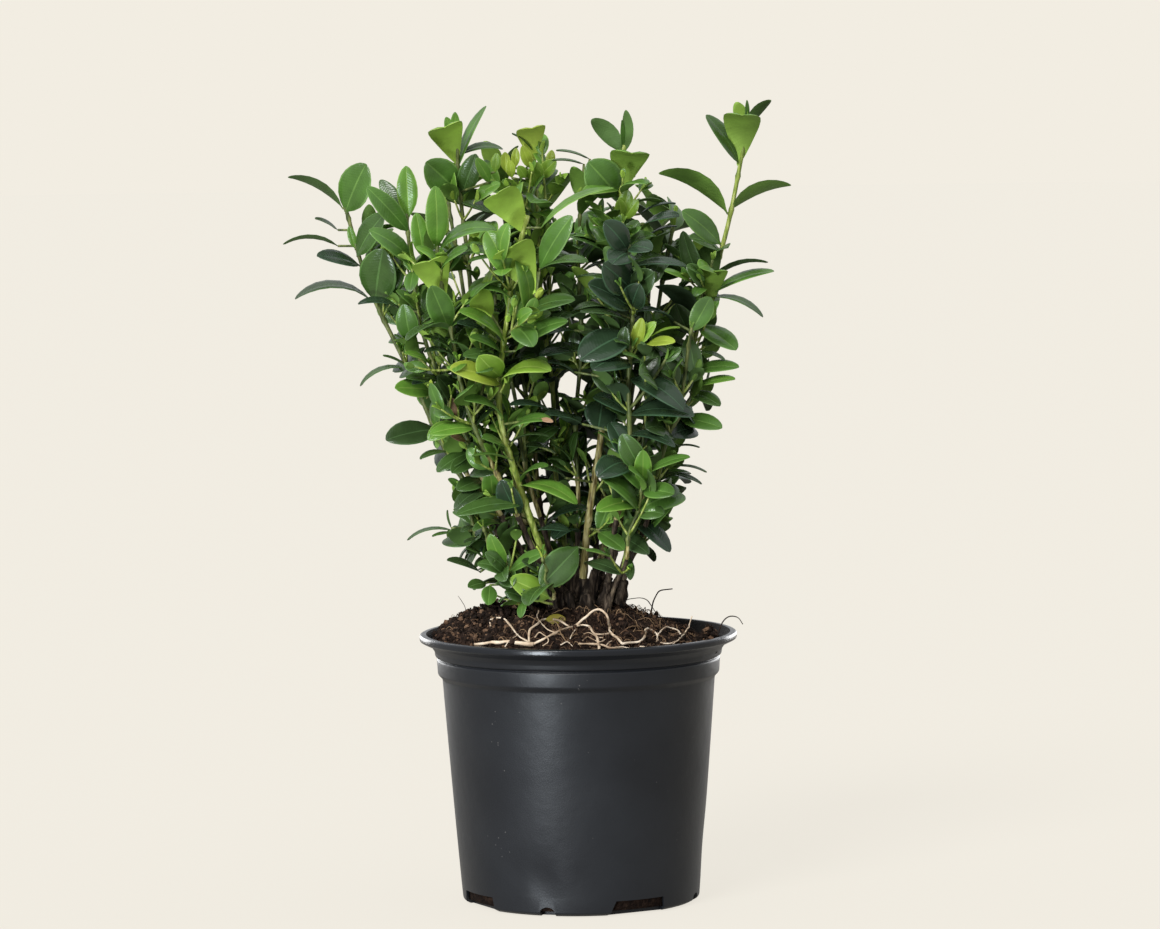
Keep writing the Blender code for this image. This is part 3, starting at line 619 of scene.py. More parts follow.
def scattered(count, rng, reach):
    """Random places on the compost, even by area: the radius is the root of a random share."""
    turn = rng.uniform(0, 2 * math.pi, count)
    _, limit = soil_edge(turn)
    radius = limit * reach * np.sqrt(rng.uniform(0, 1, count))
    x, y = radius * np.sin(turn), -radius * np.cos(turn)
    return np.stack((x, y, soil_height(x, y)), axis=-1)


def turns(count, rng):
    """Random rotation matrices, from the Q of random matrices' QR."""
    return np.linalg.qr(rng.normal(size=(count, 3, 3)))[0]


def crumbs(places, sizes, rng):
    """Rough grains: the twelve corners of an icosahedron, pushed in and out, stretched, turned and placed."""
    grain = bmesh.new()
    bmesh.ops.create_icosphere(grain, subdivisions=1, radius=1.0)
    corners = np.array([v.co[:] for v in grain.verts])
    faces = np.array([[v.index for v in face.verts] for face in grain.faces])
    grain.free()
    count = len(places)
    points = corners[None] * rng.uniform(*CRUMB_ROUGHNESS, (count, len(corners), 1))
    points = points * (sizes[:, None] * rng.uniform(*CRUMB_STRETCH, (count, 3)))[:, None, :]
    points = np.einsum("nij,nkj->nki", turns(count, rng), points) + places[:, None, :]
    all_faces = faces[None] + (np.arange(count) * len(corners))[:, None, None]
    return points.reshape(-1, 3), all_faces.reshape(-1, 3).tolist()


def strands(lines, radii, sides):
    """Closed tubes round many lines at once: rings of points, centre + r (side cos a + normal sin a), where
    side and normal are square to the line. lines is (count, points, 3), and radii ends in (points, sides)."""
    tangents = np.gradient(lines, axis=1)
    tangents /= np.linalg.norm(tangents, axis=2, keepdims=True)
    side = np.cross(tangents, ODD_DIRECTION)
    side /= np.linalg.norm(side, axis=2, keepdims=True)
    normal = np.cross(tangents, side)
    angle = np.arange(sides) * 2 * math.pi / sides
    ring = side[:, :, None] * np.cos(angle)[:, None] + normal[:, :, None] * np.sin(angle)[:, None]
    points = lines[:, :, None] + ring * np.broadcast_to(radii, (*lines.shape[:2], sides))[..., None]
    count, rows = lines.shape[:2]
    k = np.arange(sides)
    after = (k + 1) % sides
    row = (np.arange(rows - 1) * sides)[:, None]
    quads = np.stack((row + k, row + after, row + sides + after, row + sides + k), axis=-1).reshape(-1, 4)
    starts = np.arange(count) * rows * sides
    faces = (quads[None] + starts[:, None, None]).reshape(-1, 4).tolist()
    faces += (k[::-1] + starts[:, None]).tolist() + (k + (rows - 1) * sides + starts[:, None]).tolist()
    return points.reshape(-1, 3), faces


def wandering(places, length, points, rng, lift):
    """Short loose lines from these places: each starts in a random direction that turns steadily."""
    count = len(places)
    heading = rng.uniform(0, 2 * math.pi, count)[:, None]
    bend = rng.normal(0, FIBRE_BEND, count)[:, None]
    t = np.linspace(0, 1, points)[None]
    angle = heading + bend * t
    step = length[:, None] / points
    x = places[:, :1] + np.cumsum(np.cos(angle) * step, axis=1)
    y = places[:, 1:2] + np.cumsum(np.sin(angle) * step, axis=1)
    rises = rng.uniform(*FIBRE_RISES, count)[:, None]
    z = soil_height(x, y) + lift[:, None] * np.sin(math.pi * t * rises)
    keep = np.hypot(x, y).max(axis=1) < FIBRE_LIMIT
    return np.stack((x, y, z), axis=-1)[keep]


rng = np.random.default_rng(SEED)
CRUMB_DARK, CRUMB_BROWN, CRUMB_RUST = [
    coat(name, tones, 500.0, roughness, 0.15, 0.0003, 1500.0) for name, tones, roughness in (
        ("crumb_dark", [(0.006, 0.004, 0.003), (0.020, 0.011, 0.007)], 0.95),
        ("crumb_brown", [(0.016, 0.010, 0.007), (0.050, 0.030, 0.020)], 0.95),
        ("crumb_rust", [(0.060, 0.030, 0.017), (0.190, 0.115, 0.068)], 0.9))]
places = scattered(CRUMBS + CLODS, rng, CRUMB_REACH)
sizes = rng.uniform(*CRUMB_SIZE, CRUMBS) ** CRUMB_FEWER_LARGE
sizes = np.concatenate((sizes, rng.uniform(*CLOD_SIZE, CLODS)))
places[:, 2] += sizes * rng.uniform(*CRUMB_SUNK, len(sizes))
for x, y, wide, deep, high, count in HEAPS:
    aside = rng.normal(size=(count, 2)).clip(-2, 2)
    heaped = np.stack((x + wide * aside[:, 0], y + deep * aside[:, 1]), axis=-1)
    heaped *= np.minimum(1, HEAP_LIMIT / np.linalg.norm(heaped, axis=1))[:, None]
    top = high * np.exp(-(aside**2).sum(axis=1) / 2)
    level = soil_height(heaped[:, 0], heaped[:, 1]) + top * rng.uniform(0, 1, count)
    places = np.concatenate((places, np.column_stack((heaped, level))))
    sizes = np.concatenate((sizes, rng.uniform(*HEAP_CRUMB_SIZE, count)))
points, faces = crumbs(places, sizes, rng)
slots = np.repeat(rng.choice(3, len(places), p=CRUMB_KINDS), CRUMB_FACES)
loose = shape("compost_crumbs", points, faces, [CRUMB_DARK, CRUMB_BROWN, CRUMB_RUST], slots, smooth=False)
part_of_plant(loose, "soil")

places = scattered(FIBRES, rng, FIBRE_REACH)
lengths = rng.uniform(*FIBRE_LENGTH, FIBRES)
lines = wandering(places, lengths, FIBRE_POINTS, rng, rng.uniform(*FIBRE_LIFT, FIBRES))
taper = np.linspace(*FIBRE_TAPER, FIBRE_POINTS)[:, None]
radii = rng.uniform(*FIBRE_RADIUS, len(lines))[:, None, None] * taper
points, faces = strands(lines, radii, FIBRE_SIDES)
STRAW = coat("straw", [(0.20, 0.12, 0.065), (0.34, 0.22, 0.12)], 300.0, 0.8, 0.2)
kinds = rng.choice(3, len(lines), p=FIBRE_KINDS)
slots = np.concatenate((np.repeat(kinds, FIBRE_SIDES * (FIBRE_POINTS - 1)), kinds, kinds))
litter = shape("compost_fibres", points, faces, [CRUMB_BROWN, CRUMB_RUST, STRAW], slots)
part_of_plant(litter, "soil")


# Surface roots: pale young roots that were washed free and lie across the front of the compost in loops,
# and a few dead dark ones that stand up at the right. Tubes that thin out along smooth routes.
ROOT_STEPS = 9
ROOT_SIDES = 9
ROOT_KNOTS = 0.3
KNOT_SIZE = 3.0
WANDER_SIZE = 4.0
PALE_SEED = 11
DARK_SEED = 21
ROOT_WANDER = 0.4
# Each pale root: its radii at both ends and the pixels of the photograph that it passes. A point with a third
# number stands free at that depth, and the others lie on the compost.
PALE_ROOTS = [
    (0.55, 0.80, [(475, 644), (486, 643), (497, 642), (508, 642), (520, 643), (534, 644)]),
    (0.40, 0.38, [(491, 626), (490, 621), (496, 618), (504, 619), (511, 626), (518, 635), (526, 640),
                  (534, 643)]),
    (0.50, 0.42, [(531, 645), (529, 639), (530, 631), (536, 624), (542, 620), (549, 619), (560, 621),
                  (568, 626)]),
    (0.46, 0.46, [(533, 644), (544, 639), (557, 632), (567, 628), (577, 624), (584, 618, -37),
                  (591, 612, -36), (598, 609, -36), (604, 612, -37), (608, 619, -39), (609, 627),
                  (611, 633), (617, 638), (622, 644)]),
    (0.50, 0.36, [(622, 644), (634, 642), (641, 640), (646, 635), (646, 629, -44), (651, 630), (656, 634),
                  (659, 641)]),
    (0.42, 0.40, [(577, 625), (584, 625), (590, 628), (594, 633), (600, 634), (609, 633)]),
    (0.50, 0.60, [(590, 629), (596, 636), (598, 643), (599, 650)]),
    (0.42, 0.52, [(578, 644), (588, 644), (600, 645), (611, 648), (622, 647), (636, 650)]),
    (0.26, 0.22, [(541, 623), (547, 628), (554, 632), (561, 632)]),
    (0.24, 0.20, [(538, 610, -36), (538, 617), (541, 623)]),
    (0.28, 0.24, [(535, 637), (540, 633), (547, 637), (548, 642), (543, 646)]),
    (0.24, 0.20, [(570, 638), (573, 633), (577, 628)]),
    (0.28, 0.22, [(583, 641), (588, 637), (594, 640), (600, 642), (606, 640)]),
    (0.24, 0.22, [(584, 634), (590, 633), (597, 637), (604, 638)]),
    (0.34, 0.30, [(657, 641), (659, 633), (666, 628), (674, 629), (680, 635), (677, 641), (669, 644),
                  (660, 642)]),
    (0.34, 0.24, [(671, 643), (679, 640), (686, 631), (690, 623, -34), (692, 616, -32)]),
    (0.30, 0.20, [(640, 646), (652, 648), (664, 646)]),
    (0.22, 0.16, [(505, 647), (512, 639), (519, 634)]),
    (0.22, 0.16, [(560, 645), (567, 641), (572, 646)]),
    (0.20, 0.16, [(612, 641), (606, 646), (614, 649)]),
]
ROOT_LIFT = 1.7
LAID_DEPTHS = np.linspace(-55.0, -12.0, 200)
DARK_ROOTS = [
    (0.36, 0.23, [(29.0, 10, 111.0), (30.3, 10, 117.0), (32.0, 10, 123.2), (34.1, 9, 125.6),
                  (39.0, 8, 126.4)]),
    (0.22, 0.18, [(15.0, -3, 119.0), (16.4, -4, 121.0), (21.4, -5, 123.6), (27.5, -4, 123.6),
                  (31.6, 0, 118)]),
    (0.28, 0.18, [(55.0, -9, 106.0), (57.6, -8, 110.8), (59.3, -7, 114.2), (62.4, -7, 116.4),
                  (65.4, -6, 115.6), (67.2, -6, 112.8)]),
    (0.16, 0.08, [(-45.0, -2, 113.0), (-45.8, -2, 120.0), (-47.4, -2, 123.3), (-49.0, -2, 125.8)]),
    (0.40, 0.30, [(17.5, -2, 118.0), (17.0, -3, 121.5), (19.0, -3, 123.0), (17.2, -3, 125.0),
                  (14.2, -4, 127.0)]),
    (0.18, 0.10, [(-30.0, -22, 115.0), (-33.0, -23, 119.5), (-37.0, -24, 120.5)]),
]


def laid(column, row):
    """The place where the line of sight of a pixel comes down to the roots' height above the compost."""
    line = np.array([seen_at(column, row, depth) for depth in LAID_DEPTHS])
    under = line[:, 2] < soil_height(line[:, 0], line[:, 1]) + ROOT_LIFT
    return line[np.argmax(under)]


def routed(stations, steps):
    """A smooth line through the stations: between two of them each point is the cubic that keeps half of the
    way between the neighbours as its slope."""
    p = np.array(stations, dtype=float)
    p = np.concatenate((2 * p[:1] - p[1:2], p, 2 * p[-1:] - p[-2:-1]))
    t = np.linspace(0, 1, steps, endpoint=False)[:, None]
    stretches = []
    for a, b, c, d in zip(p, p[1:], p[2:], p[3:]):
        stretches.append(0.5 * (2 * b + (c - a) * t + (2 * a - 5 * b + 4 * c - d) * t**2
                                + (3 * b - a - 3 * c + d) * t**3))
    return np.concatenate((*stretches, p[-2:-1]))


def roots(routes, seed):
    """Tubes along the routes, with knots: the radius wanders by a tenth or two along the way."""
    bodies = []
    for first, last, stations in routes:
        line = routed(stations, ROOT_STEPS)
        radius = np.linspace(first, last, len(line)) * (1 + ROOT_KNOTS * lumps(line, KNOT_SIZE, seed))
        line = line + ROOT_WANDER * np.stack([lumps(line, WANDER_SIZE, seed + k) for k in (1, 2, 3)], axis=-1)
        bodies.append(strands(line[None], radius[None, :, None], ROOT_SIDES))
    return joined(bodies)


PALE_ROOT = coat("pale_root", [(0.26, 0.17, 0.10), (0.60, 0.46, 0.32), (0.80, 0.68, 0.53)], 140.0, 0.6, 0.3,
                 0.0002, 1100.0)
DEAD_ROOT = coat("dead_root", [(0.010, 0.006, 0.005), (0.040, 0.024, 0.016)], 300.0, 0.85, 0.2, 0.0003, 900.0)
pale = [(first, last, [seen_at(*place) if len(place) == 3 else laid(*place) for place in route])
        for first, last, route in PALE_ROOTS]
part_of_plant(shape("pale_roots", *roots(pale, PALE_SEED), [PALE_ROOT]), "soil")
part_of_plant(shape("dark_roots", *roots(DARK_ROOTS, DARK_SEED), [DEAD_ROOT]), "soil")


# Shoots: the shrub's stems, in the table that its limbs and masses are worked out from. Each runs from the
# ground to its tip and carries side twigs, short shoots and pairs of leaves by the seeded rule below.
DOME_RADIUS = 18.0
CROWN_STUB_LENGTH = 9.0
MAIN_TAPER = 0.55
WAVE = 1.1
WAVE_TURNS = 14.0
WAVE_SHIFT = 1.7
WAVE_START = (0, 6)
LINE_POINTS = 41
TEST_STEM_RINGS = 20
LEAFY_STEM_RINGS = 60
TWIG_SIDES = 3
MOST_SHAPES = 20000

# Side twigs: they start at the fifth leaf pair from the tip, and are longer further down
FIRST_SIDE_TWIG = 4
SIDE_TWIG_CHANCE = 0.30
SIDE_TWIG_RINGS = 7
SIDE_TWIG_LEAN = (36, 52)
SIDE_TWIG_ASIDE = 25.0
SIDE_TWIG_REACH = (0.75, 1.1)
SIDE_TWIG_SHORTEST = 18.0
SIDE_TWIG_LONGEST = 44.0
SIDE_TWIG_GAIN = 5.0
SIDE_TWIG_LIFT = 0.22
SIDE_TWIG_BARE = 5.0
TWIG_ABOVE_LEAF = 2.5
TWIG_ROOT = 3.0
TWIG_RADIUS = 0.75
TWIG_TIP_RADIUS = 0.5
TWIG_CLEAR = 0.2

# Leaves: sizes are for a full-grown leaf, and the shares are of its length
FULL_LEAF = 24.0
LEAF_WIDTH_SHARE = 0.62
LEAF_WIDEST = 0.52
LEAF_TIP_SHARE = 0.42
LEAF_THICKNESS = 1.0
LEAF_ROOT = 0.14
LEAF_TRIES = 6
SMALLER_EACH_TRY = 0.08
LEAF_ASIDE = 12.0
ANGLE_SPREAD = 12.0
SIZE_SPREAD = (0.88, 1.1)
ARCH_SPREAD = (0.6, 1.3)
FOLD_SPREAD = (8, 26)
LOWEST_LEAF = 5.0
TIP_BUD = 1.8
SIDE_LEAF_SHARE = 0.92
# The shares of a leaf's length at which it is tested against the sky: its middle, its tip and its lower part
SKY_TESTED = (0.6, 1.0, 0.3)

# Leaves turn their faces to the open: up to the sky, and out from the shrub's axis
SKY_LIGHT = 0.25
SIDE_LIGHT = 0.9
LIGHT_SPREAD = (0.4, 1.6)
OPEN_RADIUS = 40.0

# Room: how much wider a leaf is tested than it is, and how far a mass may reach over the next one's space
TEST_WIDER = 1.2
FINER_TEST_WIDER = 0.95
FINER_THICKNESS = 0.5
FINER_SKY_LIGHT = 0.85
FINER_SIDE_LIGHT = 0.35
SPACE_OVERLAP = 8.0

# The bare place at the front, low down, where the stems are seen: its heights, how far forward it starts, and
# its sides at its foot with their slopes
BARE_Z = (126.0, 200.0)
BARE_BACK = -9.0
BARE_LEFT = (-12.0, -0.27)
BARE_RIGHT = (5.0, 0.13)

# Finer growth: short shoots in the axils, of smaller leaves, which the plain solids leave out
SHORT_SHOOT_ROUNDS = 4
SHORT_SHOOT_CHANCE = 0.85
SHORT_SHOOT_FROM = 2
SHORT_SHOOT_ON_STEM_FROM = 3
SHORT_SHOOT_LENGTH = (6.0, 18.0)
SHORT_SHOOT_LEAF = (17.0, 26.0)
SHORT_SHOOT_LEAN = (28, 62)
SHORT_SHOOT_ABOVE = 1.5
SHORT_SHOOT_BARE = 1.5
SHORT_SHOOT_RADII = (0.55, 0.35)

# A shoot is one main stem from the ground to its tip. base and tip are places in millimetres, lean is how
# far the stem swings out before it rises, bow is its sideways swell at mid height, bare is the share of it
# that has no leaves, and turn is the direction in degrees of the leaf pair at its tip.
Shoot = namedtuple("Shoot", "name base tip lean bow bare radius leaf turn")
SHOOTS = [
    Shoot("left", (-14, -4), (-93, -12, 289), 0.5, (0, 0), 0.30, 1.6, 26, 10),
    Shoot("left_inner", (-9, -9), (-67, -24, 283), 0.95, (0, 0), 0.20, 1.5, 24, 60),
    Shoot("left_front", (-5, -13), (-54, -36, 285), 1.0, (-2, -4), 0.24, 1.4, 24, 20),
    Shoot("front", (-3, -9), (-18, -42, 282), 0.2, (-18, -8), 0.40, 1.8, 26, 0),
    Shoot("top_left", (-10, 3), (-47, 4, 309), 0.9, (0, 0), 0.20, 1.6, 25, 20),
    Shoot("top_middle", (-3, 5), (-16, 12, 304), 0.4, (0, 0), 0.20, 1.5, 20, 45),
    Shoot("top_right", (1, -7), (21, -6, 309), 0.2, (0, -5), 0.40, 1.9, 24, 15),
    Shoot("centre_right", (10, -11), (22, -42, 270), 0.5, (4, -4), 0.22, 1.5, 24, 70),
    Shoot("right", (13, -2), (71, -4, 314), 0.25, (1, 0), 0.30, 1.7, 26, 0),
    Shoot("right_front", (15, -8), (47, -34, 236), 0.5, (0, 0), 0.30, 1.3, 23, 50),
    Shoot("back_left", (-12, 9), (-52, 48, 286), 0.5, (0, 0), 0.16, 1.5, 23, 0),
    Shoot("far_left", (-15, 4), (-74, 26, 256), 0.5, (0, 0), 0.30, 1.4, 23, 40),
    Shoot("back", (-3, 13), (-12, 66, 288), 0.6, (0, 0), 0.16, 1.6, 23, 70),
    Shoot("back_right", (8, 11), (34, 54, 280), 0.5, (0, 0), 0.16, 1.5, 23, 20),
    Shoot("far_right", (14, 5), (54, 30, 254), 0.5, (0, 0), 0.24, 1.4, 23, 50),
    Shoot("middle", (4, 3), (42, 16, 281), 0.3, (0, 0), 0.20, 1.5, 23, 0),
    Shoot("inner_left", (-6, -3), (-34, -8, 266), 0.5, (0, 0), 0.0, 1.3, 25, 80),
    Shoot("inner_right", (9, -4), (34, 0, 234), 0.5, (0, 0), 0.0, 1.3, 25, 30),
    Shoot("inner_back", (-8, 10), (-30, 26, 298), 0.5, (0, 0), 0.0, 1.3, 25, 10),
    Shoot("inner_middle", (-1, 0), (3, 2, 288), 0.3, (0, 0), 0.0, 1.3, 25, 60),
    Shoot("inner_back_right", (6, 8), (16, 34, 256), 0.6, (0, 0), 0.0, 1.2, 25, 40),
    Shoot("low_left", (-22, -4), (-47, -8, 170), 0.6, (0, 0), 0.0, 1.1, 22, 0),
    Shoot("low_front_left", (-18, -14), (-38, -32, 157), 0.5, (0, 0), 0.0, 1.1, 22, 30),
    Shoot("low_front", (-8, -22), (-14, -40, 145), 0.3, (0, 0), 0.0, 1.0, 23, 60),
    Shoot("low_front_right", (12, -20), (27, -37, 178), 0.5, (0, 0), 0.0, 1.1, 23, 20),
    Shoot("low_right", (14, -6), (37, -10, 188), 0.5, (0, 0), 0.34, 1.1, 23, 50),
    Shoot("low_back_right", (12, 9), (36, 36, 186), 0.6, (0, 0), 0.24, 1.1, 23, 10),
    Shoot("low_back", (0, 21), (2, 46, 180), 0.6, (0, 0), 0.0, 1.1, 23, 40),
    Shoot("low_back_left", (-20, 11), (-42, 30, 184), 0.6, (0, 0), 0.0, 1.1, 23, 70),
]

# How far the crown may reach to the left, right, front and back at each height, read off its outline
REACH_Z = (120, 136, 150, 180, 210, 250, 290, 334)
REACH_LEFT = (48, 54, 56, 58, 78, 112, 118, 66)
REACH_RIGHT = (20, 26, 38, 46, 56, 68, 78, 78)
REACH_FRONT = (42, 48, 52, 58, 66, 78, 80, 56)
REACH_BACK = (36, 42, 52, 60, 70, 82, 86, 60)

# The outline in the photograph: at each row of pixels, the columns between which the bulk of the leaves lies
OUTLINE_ROWS = (100, 130, 150, 165, 190, 240, 300, 335, 370, 400, 440, 470, 500, 545, 570, 610)
OUTLINE_LEFT = (430, 425, 420, 400, 366, 362, 372, 392, 404, 428, 436, 446, 452, 440, 455, 500)
OUTLINE_RIGHT = (632, 655, 655, 640, 655, 712, 722, 716, 716, 712, 694, 690, 682, 664, 650, 640)
# Openings through which the sky is seen: column, row, half width and half height in pixels
OPENINGS = [(452, 212, 15, 13), (455, 240, 18, 10), (460, 285, 17, 13), (567, 214, 17, 15),
            (507, 343, 11, 11), (556, 337, 14, 10), (571, 386, 20, 12), (519, 394, 15, 12),
            (548, 405, 10, 12), (633, 400, 11, 24), (655, 296, 18, 10), (548, 286, 12, 10),
            (384, 277, 10, 14), (399, 325, 8, 11), (452, 325, 10, 8), (540, 508, 12, 10),
            (665, 300, 12, 16), (575, 478, 14, 12), (632, 455, 10, 14), (693, 338, 11, 10),
            (428, 350, 10, 10), (476, 262, 14, 8), (600, 350, 8, 8), (540, 470, 10, 8)]
# How many of a stem's newest leaf pairs are the ones in the table of leaves seen in the photograph
PAIRS_IN_TABLE = {"left": 5, "left_inner": 4, "left_front": 3, "front": 6, "top_left": 4, "top_middle": 3,
                  "top_right": 4, "centre_right": 4, "right": 6}
# The stretches of stems that are seen all the way, as first and last rows of pixels
STEMS_IN_SIGHT = {"front": (290, 545), "top_right": (432, 545), "right": (160, 250), "left": (208, 330)}
SEEN_WITHIN = 15.0
SEEN_BEHIND = 4.0

# Leaf pairs counted from a twig's tip: the way to the next pair below, the leaf's share of full size, its
# angle from the twig and how far it arches over, in degrees. The last column holds for all older pairs.
PAIR_GAP = (6.0, 9.5, 13.0, 18.0, 21.0)
PAIR_SIZE = (0.60, 0.82, 0.96, 1.0, 1.0)
PAIR_ANGLE = (24, 36, 46, 54, 60)
PAIR_ARCH = (8, 20, 34, 42, 48)

UP = np.array((0.0, 0.0, 1.0))

Twig = namedtuple("Twig", "mass points radii name")
Leaf = namedtuple("Leaf", "twig root along face length arch fold age")


def unit(vector):
    return vector / np.linalg.norm(vector)


def across(tangent, degrees):
    """The direction square to a stem at this turn about it: 0 is towards +X and 90 towards +Y."""
    side = unit(np.array((1.0, 0.0, 0.0)) - tangent[0] * tangent)
    back = np.cross(tangent, side)
    turn = math.radians(degrees)
    return side * math.cos(turn) + back * math.sin(turn)


def tilted(tangent, outward, degrees):
    """The direction that leaves a stem at this angle from its tangent."""
    angle = math.radians(degrees)
    return tangent * math.cos(angle) + outward * math.sin(angle)


def shoot_line(shoot):
    """The main stem's centreline: even in z, out along a sine towards its tip, with a slight wave."""
    t = np.linspace(0, 1, LINE_POINTS)
    spread = (1 - shoot.lean) * t + shoot.lean * np.sin(math.pi / 2 * t)
    wave = Random(shoot.name).uniform(*WAVE_START)
    line = np.empty((LINE_POINTS, 3))
    for axis in (0, 1):
        line[:, axis] = shoot.base[axis] + (shoot.tip[axis] - shoot.base[axis]) * spread
        line[:, axis] += shoot.bow[axis] * np.sin(math.pi * t)
        line[:, axis] += WAVE * np.sin(math.pi * t) * np.sin(WAVE_TURNS * t + wave + WAVE_SHIFT * axis)
    line[:, 2] = GROUND_Z + CLEAR + (shoot.tip[2] - GROUND_Z - CLEAR) * t
    return line


def on_root_crown(shoot):
    return math.hypot(*shoot.base) < DOME_RADIUS


def leafless(shoot, length):
    """How far up the main stem its foliage starts: past its bare share and its stub on the root crown."""
    return max(shoot.bare * length, (CROWN_STUB_LENGTH + CLEAR) * on_root_crown(shoot))


def lengths_along(line):
    steps = np.linalg.norm(np.diff(line, axis=0), axis=1)
    return np.concatenate(([0.0], np.cumsum(steps)))


def points_on(line, distances):
    """The points at these distances along a line."""
    along = lengths_along(line)
    return np.stack([np.interp(distances, along, line[:, k]) for k in range(3)], axis=1)


def place_on(line, distance):
    """The point and the tangent at this distance along a line."""
    behind, point, ahead = points_on(line, (distance - 1.0, distance, distance + 1.0))
    return point, unit(ahead - behind)


def part_of(line, start, end, count):
    """The stretch of a line between two distances, as count points."""
    return points_on(line, np.linspace(start, end, count))


def stem_part(shoot, start, end, count):
    """Points and radii of one stretch of a main stem, which tapers from the ground to its tip."""
    line = shoot_line(shoot)
    length = lengths_along(line)[-1]
    radii = shoot.radius * (1 - (1 - MAIN_TAPER) * np.linspace(start, end, count) / length)
    return part_of(line, start, end, count), radii


def within_reach(point):
    """Whether a point lies in the crown: an ellipse in plan, with its own half width on each side."""
    x, y, z = point
    half_x = np.interp(z, REACH_Z, REACH_LEFT if x < 0 else REACH_RIGHT)
    half_y = np.interp(z, REACH_Z, REACH_FRONT if y < 0 else REACH_BACK)
    return (x / half_x) ** 2 + (y / half_y) ** 2 < 1 and z < REACH_Z[-1]


def hides_sky(point):
    """Whether a point is seen outside the crown's outline or in one of its openings."""
    column, row = pixel_of(point)
    left = np.interp(row, OUTLINE_ROWS, OUTLINE_LEFT)
    right = np.interp(row, OUTLINE_ROWS, OUTLINE_RIGHT)
    if not left < column < right:
        return True
    return any(((column - x) / wide) ** 2 + ((row - y) / high) ** 2 < 1 for x, y, wide, high in OPENINGS)


def hides_seen_leaf(point):
    """Whether a point would cover the middle of one of the table's leaves."""
    column, row = pixel_of(point)
    near = np.hypot(seen_middles[:, 0] - column, seen_middles[:, 1] - row) < SEEN_WITHIN
    return bool(np.any(near & (point[1] < seen_middles[:, 2] + SEEN_BEHIND)))


def in_bare_place(point):
    x, y, z = point
    up = z - BARE_Z[0]
    between = BARE_LEFT[0] + BARE_LEFT[1] * up < x < BARE_RIGHT[0] + BARE_RIGHT[1] * up
    return between and y < BARE_BACK and BARE_Z[0] < z < BARE_Z[1]


def tube(points, radii, sides):
    """Vertices and faces of a closed, tapering tube round a line. At the ground it is cut level."""
    tangents = np.gradient(points, axis=0)
    if points[0][2] < GROUND_Z + 2 * CLEAR:
        tangents[0] = UP
    vertices = []
    for point, tangent, radius in zip(points, tangents, radii):
        for k in range(sides):
            vertices.append(point + across(unit(tangent), 360 * k / sides + 90) * radius)
    faces = [tuple(reversed(range(sides)))]
    for ring in range(len(points) - 1):
        for k in range(sides):
            a, b = ring * sides + k, ring * sides + (k + 1) % sides
            faces.append((a, b, b + sides, a + sides))
    last = (len(points) - 1) * sides
    faces.append(tuple(range(last, last + sides)))
    return np.array(vertices), faces


def midrib(leaf, share):
    """The point and upper normal at this share of a leaf's length, on the arc that it arches over."""
    bend = math.radians(leaf.arch) * share
    radius = leaf.length / math.radians(leaf.arch)
    point = leaf.root + leaf.along * math.sin(bend) * radius
    point = point - leaf.face * (1 - math.cos(bend)) * radius
    return point, leaf.face * math.cos(bend) + leaf.along * math.sin(bend)


def leaf_solid(leaf, start, wider, thickness):
    """Vertices and faces of an arched leaf with a blunt tip, 8 faces in all: its root, two corners at its
    widest, two at its tip, and a keel point underneath. start cuts off the root's end."""
    side = np.cross(leaf.face, leaf.along)
    root, _ = midrib(leaf, start)
    middle, normal = midrib(leaf, LEAF_WIDEST)
    tip, _ = midrib(leaf, 1.0)
    across_middle = side * leaf.length * LEAF_WIDTH_SHARE / 2 * wider
    across_tip = across_middle * LEAF_TIP_SHARE
    upper = normal * thickness / 2
    vertices = (root, middle + across_middle + upper, tip + across_tip, tip - across_tip,
                middle - across_middle + upper, middle - upper)
    faces = ((0, 4, 1), (1, 4, 3), (1, 3, 2), (0, 1, 5), (1, 2, 5), (2, 3, 5), (3, 4, 5), (4, 0, 5))
    return np.array(vertices), faces


class Crown:
    """What has grown so far. A new twig or leaf that would touch it finds no room."""

    def __init__(self, stems):
        self.stems = stems
        self.centres = np.zeros((MOST_SHAPES, 3))
        self.sizes = np.zeros(MOST_SHAPES)
        self.grown = []

    def in_own_space(self, mass, point):
        """A mass's space is what lies nearer to its own stem than to the others, with an overlap."""
        gaps = np.linalg.norm(self.stems - point, axis=2).min(axis=1)
        return gaps[mass] < gaps.min() + SPACE_OVERLAP

    def takes(self, mass, parent, twig, whole, outer):
        """Adds a twig or a leaf where it has room, and says whether it had. A main stem, without a parent,
        always has. Between masses whole shapes are tested, and within one only outer parts, as roots meet."""
        trees = [BVHTree.FromPolygons(points.tolist(), faces) for points, faces in (whole, outer)]
        centre = (whole[0].max(axis=0) + whole[0].min(axis=0)) / 2
        size = np.linalg.norm(whole[0] - centre, axis=1).max()
        count = len(self.grown)
        if parent is not None:
            if whole[0][:, 2].min() < GROUND_Z + 2 * CLEAR:
                return False
            apart = np.linalg.norm(self.centres[:count] - centre, axis=1)
            for index in np.flatnonzero(apart < size + self.sizes[:count]):
                other_mass, other_twig, other_trees = self.grown[index]
                same = int(other_mass == mass)
                if other_twig != parent and trees[same].overlap(other_trees[same]):
                    return False
        self.centres[count] = centre
        self.sizes[count] = size
        self.grown.append((mass, twig, trees))
        return True


def pairs_down(length, bare, size):
    """Each leaf pair's number from the tip and its distance from the tip, down to the bare stretch."""
    number = 0
    distance = TIP_BUD * size / FULL_LEAF
    while distance < length - bare:
        yield number, distance
        distance += PAIR_GAP[min(number, len(PAIR_GAP) - 1)] * size / FULL_LEAF
        number += 1


